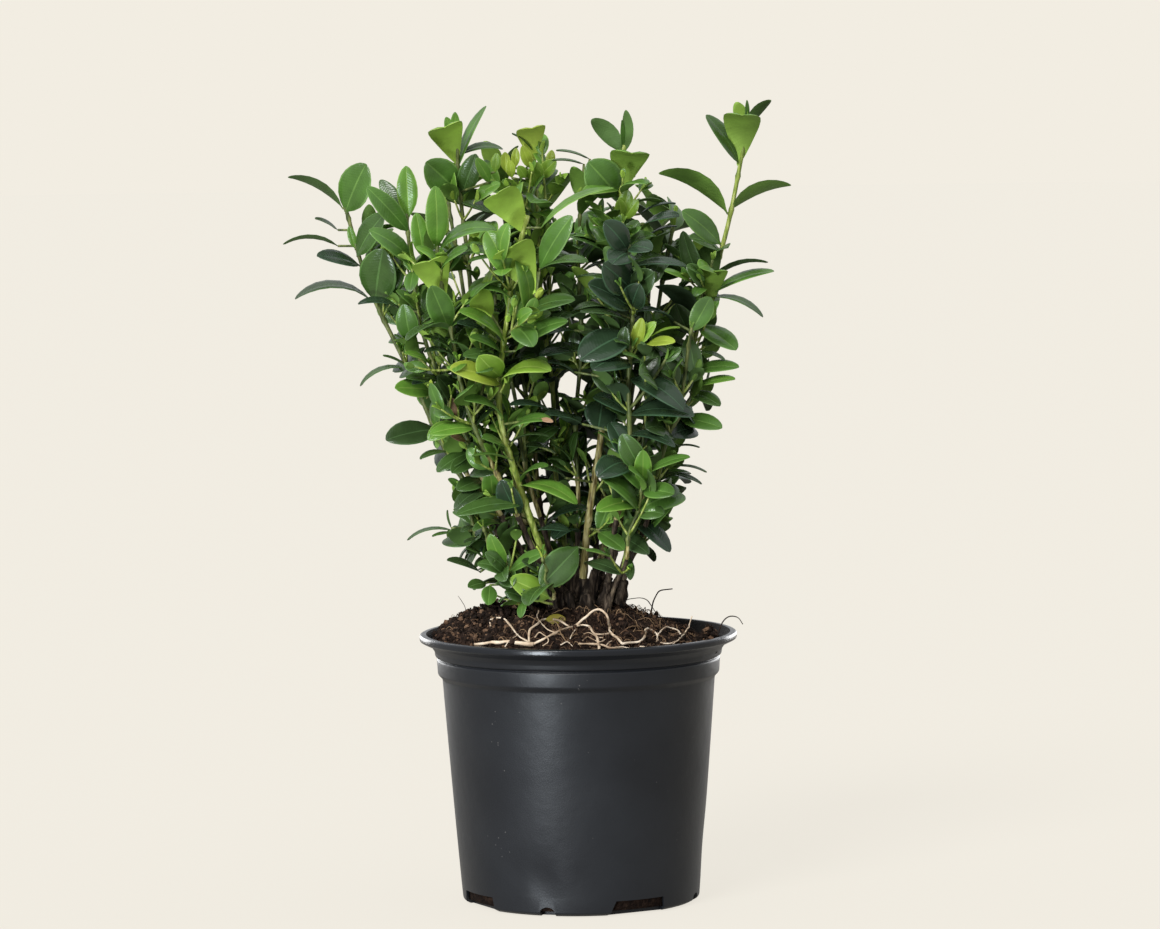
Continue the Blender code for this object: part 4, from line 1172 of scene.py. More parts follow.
def test_twig(points, radii):
    whole = tube(points, radii + CLEAR + TWIG_CLEAR, TWIG_SIDES)
    outer_points = part_of(points, TWIG_ROOT, lengths_along(points)[-1], len(points))
    outer = tube(outer_points, radii + CLEAR, TWIG_SIDES)
    return whole, outer


def grow_twig(crown, twigs, mass, parent, name, start, heading, reach, radii, finer):
    """A twig that sets off in a direction and turns up to the light. It says whether it found room."""
    steps = np.linspace(0, reach, SIDE_TWIG_RINGS)[:, None]
    points = start + heading * steps + UP * SIDE_TWIG_LIFT * steps**2 / reach
    radii = np.linspace(*radii, SIDE_TWIG_RINGS)
    tip = points[-1]
    inside = within_reach(tip) and crown.in_own_space(mass, tip) and not hides_sky(tip)
    inside = inside and not (finer and in_bare_place(tip))
    if inside and crown.takes(mass, parent, len(twigs), *test_twig(points, radii)):
        twigs.append(Twig(mass, points, radii, name))
        return True
    return False


def grow_side_twigs(crown, twigs, mass, shoot):
    """Side twigs leave the main stem just above its older leaf pairs, and turn up towards the light."""
    line = twigs[mass].points
    length = lengths_along(line)[-1]
    for number, distance in pairs_down(length, LOWEST_LEAF, shoot.leaf):
        for half_turn in (0, 180):
            name = f"{shoot.name} {number} {half_turn}"
            rng = Random(f"{SEED} {name}")
            chance = rng.random()
            share = rng.uniform(*SIDE_TWIG_REACH)
            lean = rng.uniform(*SIDE_TWIG_LEAN)
            aside = rng.uniform(-SIDE_TWIG_ASIDE, SIDE_TWIG_ASIDE)
            if number < FIRST_SIDE_TWIG or chance > SIDE_TWIG_CHANCE:
                continue
            start, tangent = place_on(line, length - distance + TWIG_ABOVE_LEAF)
            outward = across(tangent, shoot.turn + 90 * number + half_turn + aside)
            reach = SIDE_TWIG_SHORTEST + SIDE_TWIG_GAIN * (number - FIRST_SIDE_TWIG)
            reach = min(reach, SIDE_TWIG_LONGEST) * share
            grow_twig(crown, twigs, mass, mass, name, start, tilted(tangent, outward, lean), reach,
                      (TWIG_RADIUS, TWIG_TIP_RADIUS), False)


def test_leaf(leaf, start, finer):
    if finer:
        return leaf_solid(leaf, start, FINER_TEST_WIDER, FINER_THICKNESS)
    return leaf_solid(leaf, start, TEST_WIDER, LEAF_THICKNESS + 2 * CLEAR)


def leaf_beside(twig_number, place, tangent, turn, number, size, rng, finer):
    """A leaf of one pair: steep and flat near the tip, and further down it stands out and arches over."""
    step = min(number, len(PAIR_SIZE) - 1)
    angle = PAIR_ANGLE[step] + rng.uniform(-ANGLE_SPREAD, ANGLE_SPREAD)
    along = tilted(tangent, across(tangent, turn), angle)
    outward = np.array((place[0], place[1], 0.0)) / max(OPEN_RADIUS, math.hypot(*place[:2]))
    sky_light, side_light = (FINER_SKY_LIGHT, FINER_SIDE_LIGHT) if finer else (SKY_LIGHT, SIDE_LIGHT)
    light = (sky_light * UP + side_light * outward) * rng.uniform(*LIGHT_SPREAD)
    face = unit(tangent - along * np.dot(tangent, along)) + light
    face = unit(face - along * np.dot(face, along))
    length = size * PAIR_SIZE[step] * rng.uniform(*SIZE_SPREAD)
    arch = PAIR_ARCH[step] * rng.uniform(*ARCH_SPREAD)
    return Leaf(twig_number, place, along, face, length, arch, rng.uniform(*FOLD_SPREAD), number)


def grow_leaves(crown, leaves, number, twig, size, turn, bare, is_main, finer=False):
    """Opposite pairs, each a quarter turn from the last. A leaf with no room tries other turns first."""
    length = lengths_along(twig.points)[-1]
    for pair, distance in pairs_down(length, bare, size):
        if is_main and pair < PAIRS_IN_TABLE.get(twig.name, 0):
            continue
        place, tangent = place_on(twig.points, length - distance)
        for half_turn in (0, 180):
            rng = Random(f"{SEED} {twig.name} leaf {pair} {half_turn}")
            for attempt in range(LEAF_TRIES):
                aside = rng.uniform(-LEAF_ASIDE, LEAF_ASIDE) * (1 + attempt)
                leaf_turn = turn + 90 * pair + half_turn + aside
                leaf_size = size * (1 - SMALLER_EACH_TRY * attempt)
                leaf = leaf_beside(number, place, tangent, leaf_turn, pair, leaf_size, rng, finer)
                whole = test_leaf(leaf, 0.0, finer)
                outer = test_leaf(leaf, LEAF_ROOT, finer)
                middle, tip, lower = [midrib(leaf, share)[0] for share in SKY_TESTED]
                inside = is_main or (within_reach(tip) and crown.in_own_space(twig.mass, tip))
                inside = inside and not in_bare_place(middle) and not hides_seen_leaf(middle)
                inside = inside and not any(hides_sky(point) for point in (middle, tip, lower))
                if inside and crown.takes(twig.mass, number, None, whole, outer):
                    leaves.append(leaf)
                    break


def grow_short_shoot(crown, twigs, leaves, mass, parent, name, line, distance, rng):
    """One short shoot from this distance along its parent's line, with a few pairs of smaller leaves."""
    reach = rng.uniform(*SHORT_SHOOT_LENGTH)
    size = rng.uniform(*SHORT_SHOOT_LEAF)
    lean = rng.uniform(*SHORT_SHOOT_LEAN)
    start, tangent = place_on(line, distance + SHORT_SHOOT_ABOVE)
    outward = across(tangent, rng.uniform(0, 360))
    heading = tilted(tangent, outward, lean)
    if grow_twig(crown, twigs, mass, parent, name, start, heading, reach, SHORT_SHOOT_RADII, True):
        number = len(twigs) - 1
        turn = rng.uniform(0, 90)
        grow_leaves(crown, leaves, number, twigs[number], size, turn, SHORT_SHOOT_BARE, False, True)


def grow_finer(crown, twigs, leaves):
    """Rounds of short shoots: two chances at every older pair of every twig, and at the bare feet."""
    for turn in range(SHORT_SHOOT_ROUNDS):
        parents = [(twig.mass, number, twig.name, twig.points) for number, twig in enumerate(twigs)]
        for mass, shoot in enumerate(SHOOTS):
            if shoot.bare:
                length = lengths_along(shoot_line(shoot))[-1]
                foot, _ = stem_part(shoot, CROWN_STUB_LENGTH, shoot.bare * length, LEAFY_STEM_RINGS)
                parents.append((mass, mass, shoot.name + " foot", foot))
        for mass, parent, parent_name, line in parents:
            length = lengths_along(line)[-1]
            for pair, distance in pairs_down(length, SHORT_SHOOT_BARE, SHOOTS[mass].leaf):
                for half_turn in (0, 180):
                    name = f"{parent_name} short {turn} {pair} {half_turn}"
                    rng = Random(f"{SEED} {name}")
                    first = SHORT_SHOOT_ON_STEM_FROM if parent == mass else SHORT_SHOOT_FROM
                    if pair >= first and rng.random() < SHORT_SHOOT_CHANCE:
                        grow_short_shoot(crown, twigs, leaves, mass, parent, name, line,
                                         length - distance, rng)


# The leaves that stand out in the photograph, by tone. Each row gives the column, row and depth in
# millimetres of the leaf's root, those of its tip, where its upper side looks, the degrees that it arches,
# and its width as a share of its length.
SEEN_LEAVES = {
    "bud": [
        (502, 380, -41, 450, 369, -54, -0.1, -0.75, 0.6, 40, 0.42),
        (538, 160, 11, 532, 128, -2, -0.2, 0.7, 0.7, 100, 0.54),
        (506, 172, 8, 505, 152, 6, 0, -1, 0.2, 10, 0.5),
        (515, 168, 8, 516, 148, 6, 0, -1, 0.2, 10, 0.42),
        (524, 166, 8, 522, 146, 6, 0, -1, 0.2, 10, 0.42),
        (512, 178, 6, 509, 160, 3, 0, -1, 0.2, 16, 0.5),
        (549, 168, 8, 552, 150, 6, 0, -1, 0.2, 16, 0.5),
        (643, 346, -40, 642, 318, -46, 0, -1, 0.1, 20, 0.36),
        (646, 344, -40, 675, 342, -50, 0, -0.7, 0.7, 30, 0.4),
    ],
    "fresh": [
        (441, 300, -37, 429, 261, -52, -0.2, 0.7, 0.7, 104, 0.56),
        (457, 162, 4, 445, 127, -12, -0.25, 0.7, 0.7, 104, 0.56),
        (495, 172, -6, 497, 153, -10, 0, -0.9, 0.4, 20, 0.46),
        (534, 232, -42, 496, 194, -54, -0.35, 0.5, 0.8, 100, 0.56),
        (529, 284, -42, 511, 247, -57, -0.35, 0.7, 0.7, 104, 0.62),
        (506, 380, -41, 551, 371, -54, 0, -0.5, 0.85, 70, 0.44),
        (532, 184, 6, 533, 166, 2, 0, -1, 0.2, 16, 0.6),
        (544, 174, 8, 556, 160, 4, 0, -1, 0.2, 16, 0.5),
        (526, 178, 4, 518, 166, 0, 0, -1, 0.2, 16, 0.6),
        (540, 180, 6, 537, 162, 2, 0, -1, 0.2, 16, 0.5),
        (630, 215, -8, 628, 190, -14, 0, -1, 0.2, 16, 0.5),
        (630, 215, -8, 619, 199, -14, 0, -1, 0.3, 16, 0.5),
        (632, 215, -8, 638, 200, -14, 0, -1, 0.3, 16, 0.5),
        (648, 338, -40, 680, 327, -46, 0, -0.3, 0.9, 40, 0.2),
        (644, 344, -40, 656, 322, -44, -0.3, -0.8, 0.3, 20, 0.4),
        (540, 593, -26, 510, 579, -34, -0.2, -0.8, 0.5, 20, 0.54),
        (502, 375, -41, 479, 356, -52, -0.3, -0.85, 0.3, 30, 0.6),
    ],
    "light": [
        (350, 246, -12, 349, 226, -14, 0, -1, 0.2, 10, 0.34),
        (413, 214, -24, 406, 166, -28, 0, -0.95, 0.1, 16, 0.4),
        (424, 258, -28, 416, 213, -34, 0.1, -0.95, 0.2, 20, 0.38),
        (434, 243, -37, 435, 186, -44, 0.2, -0.95, -0.1, 40, 0.36),
        (452, 130, 4, 455, 112, 2, 0, -1, 0.2, 10, 0.34),
        (451, 130, 4, 446, 117, 2, 0, -1, 0.2, 10, 0.4),
        (490, 182, -6, 476, 158, -12, 0, -0.9, 0.4, 30, 0.4),
        (541, 228, -42, 614, 188, -40, -0.2, -0.25, 0.95, 56, 0.26),
        (510, 342, -41, 459, 311, -52, -0.3, -0.55, 0.8, 60, 0.42),
        (527, 486, -32, 577, 504, -42, 0.1, -0.45, 0.9, 64, 0.36),
        (648, 503, -24, 597, 511, -40, -0.1, -0.6, 0.8, 46, 0.42),
        (630, 187, -6, 632, 153, -22, 0, 0.7, 0.7, 104, 0.64),
        (614, 186, -6, 582, 194, -18, 0, -0.6, 0.8, 50, 0.44),
        (646, 480, -34, 643, 450, -44, 0, -0.95, 0.2, 20, 0.42),
        (736, 162, -4, 742, 115, -21, 0.1, 0.7, 0.7, 100, 0.5),
        (743, 120, -4, 736, 102, -6, -0.2, 0.3, 0.8, 30, 0.5),
        (711, 306, -8, 716, 271, -22, 0, 0.7, 0.7, 104, 0.46),
        (692, 388, -12, 735, 379, -24, 0, -0.5, 0.85, 30, 0.34),
        (434, 391, -14, 395, 388, -26, 0, -0.8, 0.5, 20, 0.46),
        (452, 422, -20, 428, 440, -28, -0.1, -0.8, 0.5, 40, 0.5),
        (492, 500, -16, 490, 470, -24, 0, -0.95, 0.2, 20, 0.5),
        (474, 423, -30, 430, 434, -40, 0, -0.6, 0.75, 30, 0.4),
        (505, 559, -24, 490, 534, -34, -0.3, -0.85, 0.3, 40, 0.4),
    ],
    "green": [
        (341, 208, -12, 366, 164, -20, -0.3, -0.9, 0.3, 20, 0.66),
        (376, 298, -12, 402, 263, -16, 0.2, -0.9, 0.3, 24, 0.5),
        (415, 262, -25, 369, 230, -34, -0.3, -0.7, 0.65, 60, 0.36),
        (410, 228, -25, 367, 187, -34, -0.35, -0.75, 0.55, 40, 0.32),
        (418, 264, -25, 410, 292, -34, -0.2, -0.8, 0.4, 30, 0.44),
        (445, 326, -37, 431, 286, -46, 0.1, -0.95, 0.1, 20, 0.5),
        (459, 165, 4, 486, 106, 6, -0.5, -0.3, 0.8, 30, 0.34),
        (454, 188, 4, 426, 162, -6, 0.1, -1, 0.1, 24, 0.7),
        (441, 247, -34, 497, 230, -40, 0.1, -0.45, 0.9, 90, 0.4),
        (540, 268, -42, 572, 216, -48, -0.45, -0.85, 0.3, 26, 0.44),
        (518, 298, -42, 482, 288, -52, 0, -0.5, 0.85, 50, 0.42),
        (516, 351, -41, 568, 321, -52, 0.15, -0.6, 0.75, 56, 0.38),
        (511, 432, -38, 551, 420, -48, 0, -0.45, 0.9, 70, 0.38),
        (622, 152, -6, 622, 120, -7, 0.5, -0.5, 0.5, 8, 0.22),
        (612, 192, -5, 588, 162, -14, 0.1, -1, 0.1, 30, 0.8),
        (654, 470, -34, 690, 457, -44, 0.1, -0.5, 0.85, 40, 0.36),
        (648, 485, -34, 674, 494, -46, 0.1, -0.8, 0.6, 30, 0.56),
        (745, 122, -4, 747, 100, -5, 0.4, -0.5, 0.5, 8, 0.24),
        (719, 208, -4, 659, 173, -8, -0.1, 0.4, 0.9, 80, 0.36),
        (729, 206, -4, 791, 185, -8, 0.1, 0.4, 0.9, 70, 0.36),
        (717, 238, -4, 682, 211, -12, -0.1, -0.8, 0.6, 30, 0.46),
        (714, 292, -6, 774, 271, -12, 0, -0.35, 0.9, 40, 0.34),
        (702, 322, -8, 736, 350, -20, 0.4, -0.8, 0.5, 20, 0.5),
        (690, 372, -12, 739, 367, -22, 0, -0.55, 0.8, 30, 0.4),
        (680, 418, -16, 722, 428, -26, 0.2, -0.75, 0.6, 24, 0.46),
        (411, 342, -24, 404, 304, -32, -0.1, -0.9, 0.3, 30, 0.5),
        (598, 532, -18, 624, 550, -28, 0.1, -0.8, 0.6, 30, 0.5),
        (490, 585, -18, 488, 605, -26, 0.1, -0.95, 0.2, 20, 0.6),
        (524, 600, -24, 521, 618, -30, -0.5, -0.7, 0.3, 20, 0.5),
        (512, 568, -24, 546, 552, -34, 0, -0.7, 0.7, 30, 0.36),
        (506, 417, -40, 464, 400, -50, 0, -0.5, 0.85, 70, 0.4),
        (512, 458, -36, 472, 456, -46, 0, -0.15, 1, 40, 0.2),
        (504, 446, -36, 482, 438, -44, 0, -0.6, 0.8, 40, 0.5),
        (502, 349, -40, 470, 337, -48, -0.1, -0.6, 0.8, 50, 0.4),
        (503, 525, -20, 473, 531, -30, 0, -0.4, 0.9, 80, 0.36),
        (522, 478, -30, 548, 466, -40, 0.1, -0.5, 0.85, 70, 0.38),
    ],
    "mature": [
        (334, 206, -12, 288, 177, -14, 0, 0.3, 1, 60, 0.4),
        (352, 254, -13, 384, 214, -22, -0.5, -0.8, 0.3, 26, 0.5),
        (338, 246, -12, 283, 244, -16, 0, 0.25, 1, 64, 0.34),
        (374, 299, -14, 383, 249, -26, -0.2, -0.95, 0.2, 20, 0.62),
        (411, 214, -24, 380, 180, -20, -0.3, -0.8, 0.5, 30, 0.34),
        (465, 190, 4, 476, 154, -4, 0, -1, 0.2, 20, 0.44),
        (463, 150, 8, 503, 149, 8, 0, -0.4, 0.9, 70, 0.36),
        (442, 266, -36, 507, 258, -42, 0, -0.3, 0.95, 90, 0.34),
        (515, 262, -42, 468, 262, -50, 0, -0.2, 1, 60, 0.34),
        (538, 272, -42, 588, 262, -54, 0, -0.35, 0.9, 60, 0.4),
        (524, 314, -42, 575, 300, -54, 0, -0.55, 0.8, 50, 0.42),
        (537, 143, 12, 512, 133, 6, 0, -0.3, 0.9, 40, 0.24),
        (590, 159, 6, 556, 150, 2, 0, -0.2, 0.95, 30, 0.3),
        (584, 164, 4, 552, 160, 0, 0, -0.2, 0.95, 30, 0.3),
        (620, 146, -6, 592, 119, -10, -0.4, 0.3, 0.8, 50, 0.44),
        (627, 148, -6, 626, 110, -8, 0.6, 0.5, 0.3, 30, 0.4),
        (738, 160, -4, 706, 115, -6, 0.5, -0.6, 0.6, 30, 0.42),
        (746, 122, -4, 771, 100, -6, -0.1, 0.5, 0.8, 50, 0.4),
        (716, 244, -5, 690, 238, -16, 0, -0.7, 0.7, 24, 0.5),
        (714, 246, -5, 728, 247, -14, 0, -0.8, 0.6, 20, 0.6),
        (705, 300, -8, 763, 317, -14, 0, -0.2, 0.95, 70, 0.28),
        (696, 352, -10, 725, 360, -18, 0, -0.2, 0.95, 40, 0.3),
        (690, 392, -12, 720, 406, -24, 0.1, -0.6, 0.7, 30, 0.44),
        (668, 446, -10, 700, 447, -14, 0, -0.1, 1, 50, 0.16),
        (664, 465, -10, 707, 472, -16, 0, -0.1, 1, 50, 0.18),
        (412, 362, -10, 383, 355, -16, 0, -0.35, 0.9, 30, 0.26),
        (414, 372, 0, 360, 386, -6, -0.1, -0.2, 0.95, 90, 0.26),
        (446, 376, -22, 406, 378, -32, 0, -0.6, 0.8, 30, 0.34),
        (452, 446, -10, 420, 459, -18, 0, -0.3, 0.95, 50, 0.34),
        (466, 450, -16, 437, 472, -26, -0.2, -0.7, 0.6, 40, 0.42),
        (468, 455, -16, 452, 473, -28, 0, -0.8, 0.5, 30, 0.5),
        (480, 478, -14, 457, 490, -24, -0.2, -0.8, 0.5, 40, 0.56),
        (578, 547, -24, 541, 586, -32, 0.25, -0.9, 0.35, 24, 0.58),
        (622, 548, -14, 630, 580, -20, 0.3, -0.9, 0.3, 20, 0.4),
        (452, 530, -8, 407, 540, -10, -0.2, -0.2, 0.95, 60, 0.26),
        (452, 532, -8, 432, 536, -12, 0, -0.4, 0.9, 20, 0.3),
        (451, 528, -8, 447, 510, -10, -0.7, -0.6, 0.1, 20, 0.2),
        (486, 583, -14, 468, 587, -22, 0, -0.8, 0.5, 30, 0.5),
        (522, 505, -28, 456, 515, -40, 0, -0.6, 0.8, 40, 0.28),
        (456, 357, -32, 423, 336, -42, 0, -0.35, 0.9, 70, 0.3),
        (487, 351, -38, 463, 356, -46, 0, -0.6, 0.8, 40, 0.46),
        (484, 559, -18, 466, 548, -26, -0.1, -0.6, 0.8, 40, 0.44),
        (505, 568, -24, 485, 553, -34, -0.2, -0.8, 0.5, 50, 0.44),
        (687, 336, -14, 696, 378, -24, 0.2, -0.9, 0.3, 30, 0.4),
        (640, 462, -34, 622, 434, -44, -0.3, -0.8, 0.4, 50, 0.5),
        (640, 505, -28, 664, 514, -38, 0.1, -0.8, 0.6, 40, 0.7),
    ],
    "old": [
        (338, 230, -12, 315, 218, -18, 0, -0.5, 0.9, 30, 0.38),
        (364, 301, -13, 295, 299, -18, 0, -0.25, 1, 90, 0.34),
        (462, 196, 3, 490, 212, -8, 0, -0.35, 0.9, 40, 0.44),
        (630, 288, -42, 654, 272, -54, 0.3, -0.85, 0.4, 30, 0.6),
        (628, 318, -42, 580, 312, -52, 0, -0.4, 0.9, 50, 0.34),
        (701, 282, -8, 683, 231, -14, -0.5, -0.7, 0.2, 30, 0.34),
        (712, 274, -6, 768, 262, -12, 0, 0.2, 0.95, 60, 0.34),
        (668, 470, -10, 702, 484, -16, 0, -0.3, 0.95, 40, 0.22),
        (438, 425, -8, 386, 440, -20, -0.2, -0.8, 0.5, 24, 0.52),
        (600, 530, -14, 649, 554, -26, 0.3, -0.7, 0.6, 40, 0.44),
        (586, 562, -16, 622, 574, -26, 0, -0.6, 0.8, 40, 0.4),
        (480, 572, -12, 447, 560, -20, 0, -0.5, 0.85, 40, 0.4),
        (462, 396, -22, 437, 376, -32, -0.2, -0.7, 0.6, 40, 0.42),
        (456, 357, -32, 424, 352, -42, 0, -0.35, 0.9, 90, 0.34),
        (516, 438, -36, 549, 436, -46, 0, -0.2, 0.95, 50, 0.22),
        (483, 491, -18, 455, 510, -28, 0, -0.5, 0.85, 70, 0.4),
        (476, 527, -14, 461, 532, -20, 0, -0.4, 0.9, 50, 0.44),
        (492, 542, -18, 464, 542, -28, 0, -0.3, 0.95, 40, 0.3),
        (541, 572, -26, 522, 561, -34, -0.1, -0.7, 0.6, 40, 0.48),
        (565, 478, -20, 541, 468, -30, 0, -0.5, 0.85, 50, 0.44),
        (556, 453, -24, 526, 446, -34, 0, -0.4, 0.9, 50, 0.4),
        (690, 334, -14, 676, 304, -24, -0.3, -0.85, 0.2, 30, 0.6),
        (612, 312, -40, 574, 310, -50, 0, -0.3, 0.95, 70, 0.34),
    ],
    "blue": [
        (354, 262, -13, 317, 256, -24, 0, -0.65, 0.75, 30, 0.46),
        (640, 214, -6, 676, 203, -8, 0, -0.2, 0.95, 50, 0.22),
        (644, 224, -8, 679, 216, -20, 0, -0.5, 0.8, 40, 0.44),
        (648, 236, -8, 677, 226, -10, 0, -0.2, 0.9, 50, 0.24),
        (626, 246, -42, 604, 222, -52, -0.2, -0.8, 0.55, 36, 0.6),
        (630, 244, -42, 652, 250, -54, 0.1, -0.8, 0.5, 40, 0.56),
        (628, 250, -42, 612, 264, -56, -0.1, -0.85, 0.4, 40, 0.7),
        (633, 262, -42, 686, 266, -50, 0, -0.4, 0.9, 50, 0.3),
        (630, 286, -42, 603, 264, -56, -0.3, -0.85, 0.4, 30, 0.66),
        (628, 306, -42, 588, 284, -54, -0.2, -0.8, 0.6, 30, 0.5),
        (629, 304, -42, 640, 284, -54, 0.2, -0.8, 0.6, 30, 0.6),
        (622, 328, -42, 580, 360, -54, -0.3, -0.85, 0.4, 30, 0.6),
        (601, 395, -14, 598, 430, -26, 0.1, -0.9, 0.4, 30, 0.76),
        (631, 372, -36, 684, 410, -50, 0.1, -0.6, 0.8, 60, 0.42),
        (400, 309, -18, 358, 304, -24, 0, -0.4, 0.9, 70, 0.34),
        (628, 516, -12, 670, 552, -22, 0.4, -0.6, 0.7, 44, 0.42),
        (552, 412, -30, 510, 405, -40, 0, -0.3, 0.95, 50, 0.42),
        (446, 372, -18, 412, 384, -28, 0, -0.5, 0.85, 40, 0.4),
        (574, 330, -34, 541, 335, -46, 0, -0.4, 0.9, 40, 0.4),
        (575, 352, -34, 540, 356, -46, 0, -0.4, 0.9, 40, 0.44),
        (574, 372, -34, 548, 362, -44, 0, -0.4, 0.9, 40, 0.4),
        (489, 334, -34, 457, 323, -44, 0, -0.5, 0.85, 40, 0.42),
        (520, 510, -24, 501, 480, -34, -0.3, -0.85, 0.3, 30, 0.5),
        (539, 525, -22, 569, 531, -30, 0, -0.4, 0.9, 50, 0.4),
        (696, 326, -14, 657, 286, -26, -0.3, -0.1, 0.9, 80, 0.46),
        (674, 322, -30, 636, 311, -42, 0, -0.3, 0.95, 60, 0.42),
        (615, 432, -34, 675, 447, -44, 0, -0.35, 0.9, 70, 0.34),
        (582, 424, -30, 545, 414, -42, 0, -0.4, 0.9, 40, 0.4),
    ],
    "dry": [
        (540, 419, -47, 553, 422, -51, 0, -0.8, 0.6, 30, 0.36),
        (458, 412, -22, 452, 398, -28, 0, -1, 0.2, 20, 0.4),
        (466, 441, -24, 451, 436, -30, 0, -0.8, 0.5, 20, 0.4),
    ],
}
seen_rows = [row for group in SEEN_LEAVES.values() for row in group]
seen_middles = [((x + tip_x) / 2, (y + tip_y) / 2, (depth + tip_depth) / 2)
                for x, y, depth, tip_x, tip_y, tip_depth, *_ in seen_rows]
for shoot in SHOOTS:
    if shoot.name in STEMS_IN_SIGHT:
        first, last = STEMS_IN_SIGHT[shoot.name]
        for point in shoot_line(shoot):
            column, row = pixel_of(point)
            if first < row < last:
                seen_middles.append((column, row, point[1]))
seen_middles = np.array(seen_middles)


def grow_crown():
    """Main stems first, then side twigs, then their leaves, and the finer growth in the room that is left."""
    lines = [shoot_line(shoot) for shoot in SHOOTS]
    crown, twigs, leaves = Crown(np.array(lines)), [], []
    for mass, shoot in enumerate(SHOOTS):
        length = lengths_along(lines[mass])[-1]
        crown.takes(mass, None, mass, *test_twig(*stem_part(shoot, 0, length, TEST_STEM_RINGS)))
        points, radii = stem_part(shoot, leafless(shoot, length), length, LEAFY_STEM_RINGS)
        twigs.append(Twig(mass, points, radii, shoot.name))
    for mass, shoot in enumerate(SHOOTS):
        grow_side_twigs(crown, twigs, mass, shoot)
    for number, twig in enumerate(twigs):
        shoot = SHOOTS[twig.mass]
        is_main = number < len(SHOOTS)
        if is_main:
            grow_leaves(crown, leaves, number, twig, shoot.leaf, shoot.turn, LOWEST_LEAF, is_main)
        else:
            size = shoot.leaf * SIDE_LEAF_SHARE
            turn = Random(twig.name).uniform(0, 90)
            grow_leaves(crown, leaves, number, twig, size, turn, SIDE_TWIG_BARE, is_main)
    grow_finer(crown, twigs, leaves)
    return twigs, leaves


twigs, leaves = grow_crown()


# Stump: the gnarled woody base of the older stems, with a knob for each stem and a few broken stubs. The
# bodies are fused into one skin, and folds that run up it are pressed in.
STUMP_PROFILE = [(0, 0), (0.97, 0), (1.0, 1.2), (0.97, 2.6), (0.86, 4.4), (0.62, 6.2), (0.3, 7.3), (0, 7.6)]
STUMP_TURNS = 48
STUMP_LEFT_CUT = 0.22
STUMP_RIGHT_CUT = 0.24
STUB_ROOT = 2.5
STUB_TAPER = (2.125, 1.0)
STUB_END = CROWN_STUB_LENGTH + 4
# Lobes round its foot: how many, how far they stand out and the turn at which they start
STUMP_LOBES = ((5, 0.05, 0.6), (9, 0.035, 2.0))
STUMP_SIZE = 0.95
STUMP_SUNK = 1.5
# The least share of a fold's height, which is left where the skin looks up
LEAST_FOLD = 0.35
# Dead stubs: foot and broken end as pixels of the photograph with a depth, and the radii there
DEAD_STUBS = [((582, 616, -13), (595, 570, -12), 3.4, 1.9), ((605, 618, -13), (606, 587, -14), 3.4, 0.7),
              ((571, 616, -15), (566, 592, -17), 2.6, 1.6), ((590, 614, -16), (586, 594, -18), 2.4, 1.1),
              ((556, 616, -15), (553, 596, -17), 2.0, 1.6)]
STUMP_VOXEL = 0.45
# Folds: size of a lump, how much it is drawn out upward, and its height
STUMP_FOLDS = ((5.0, 3.2, 1.2), (2.4, 3.6, 1.1), (1.1, 2.6, 0.7))
DRAWN = 0.22
STREAK_REACH = (0.36, 0.66)
FOLD_SEED = 31
STUB_RINGS = 6
STUB_SIDES = 12
DEAD_STUB_RINGS = 4
DEAD_STUB_SIDES = 14
BARK_TONES = [(0.006, 0.004, 0.003), (0.024, 0.016, 0.010), (0.100, 0.074, 0.052)]


def streaked(name, colours, grain, roughness, specular, high):
    """A finish whose colour and relief run in streaks up the wood."""
    made, tree, shader = opened(coat(name, colours, grain, roughness, specular, 0.0002, 900.0))
    streak = noise(tree, grain, drawn=DRAWN)
    relief(tree, shader, streak, high)
    tree.links.new(ramp(tree, streak, *STREAK_REACH, colours), shader.inputs["Base Color"])
    return made


def vectors(values, name):
    """The coordinates or normals of a mesh's vertices as an array."""
    found = np.zeros(len(values) * 3)
    values.foreach_get(name, found)
    return found.reshape(-1, 3)


BARK = streaked("bark", BARK_TONES, 620.0, 0.88, 0.2, 0.0012)
t = np.arange(STUMP_TURNS) * 2 * math.pi / STUMP_TURNS
rings = np.array(STUMP_PROFILE)[:, None, :] * (DOME_RADIUS, 1.0) + np.zeros((1, STUMP_TURNS, 1))
lobes = np.ones(STUMP_TURNS)
for number, high, start in STUMP_LOBES:
    lobes = lobes + high * np.sin(number * t + start)
lobes *= 1 - STUMP_LEFT_CUT * np.clip(-np.sin(t), 0, 1) - STUMP_RIGHT_CUT * np.clip(np.sin(t), 0, 1)
rings[..., 0] *= STUMP_SIZE * lobes
rings[..., 1] += GROUND_Z - STUMP_SUNK
bodies = [turned(rings)]
for shoot in SHOOTS:
    if on_root_crown(shoot):
        line = part_of(shoot_line(shoot), STUB_ROOT, STUB_END, STUB_RINGS)
        radii = shoot.radius * np.linspace(*STUB_TAPER, STUB_RINGS)
        bodies.append(strands(line[None], radii[None, :, None], STUB_SIDES))
for foot, end, wide, narrow in DEAD_STUBS:
    line = np.linspace(seen_at(*foot), seen_at(*end), DEAD_STUB_RINGS)
    radii = np.linspace(wide, narrow, DEAD_STUB_RINGS)
    bodies.append(strands(line[None], radii[None, :, None], DEAD_STUB_SIDES))
stump = shape("stump", *joined(bodies), [BARK])
fuse = stump.modifiers.new("fuse", "REMESH")
fuse.mode = "VOXEL"
fuse.voxel_size = STUMP_VOXEL * MM
settled(stump)
skin = vectors(stump.data.vertices, "co") / MM
normals = vectors(stump.data.vertices, "normal")
sideways = np.clip(1 - normals[:, 2], 0, 1)
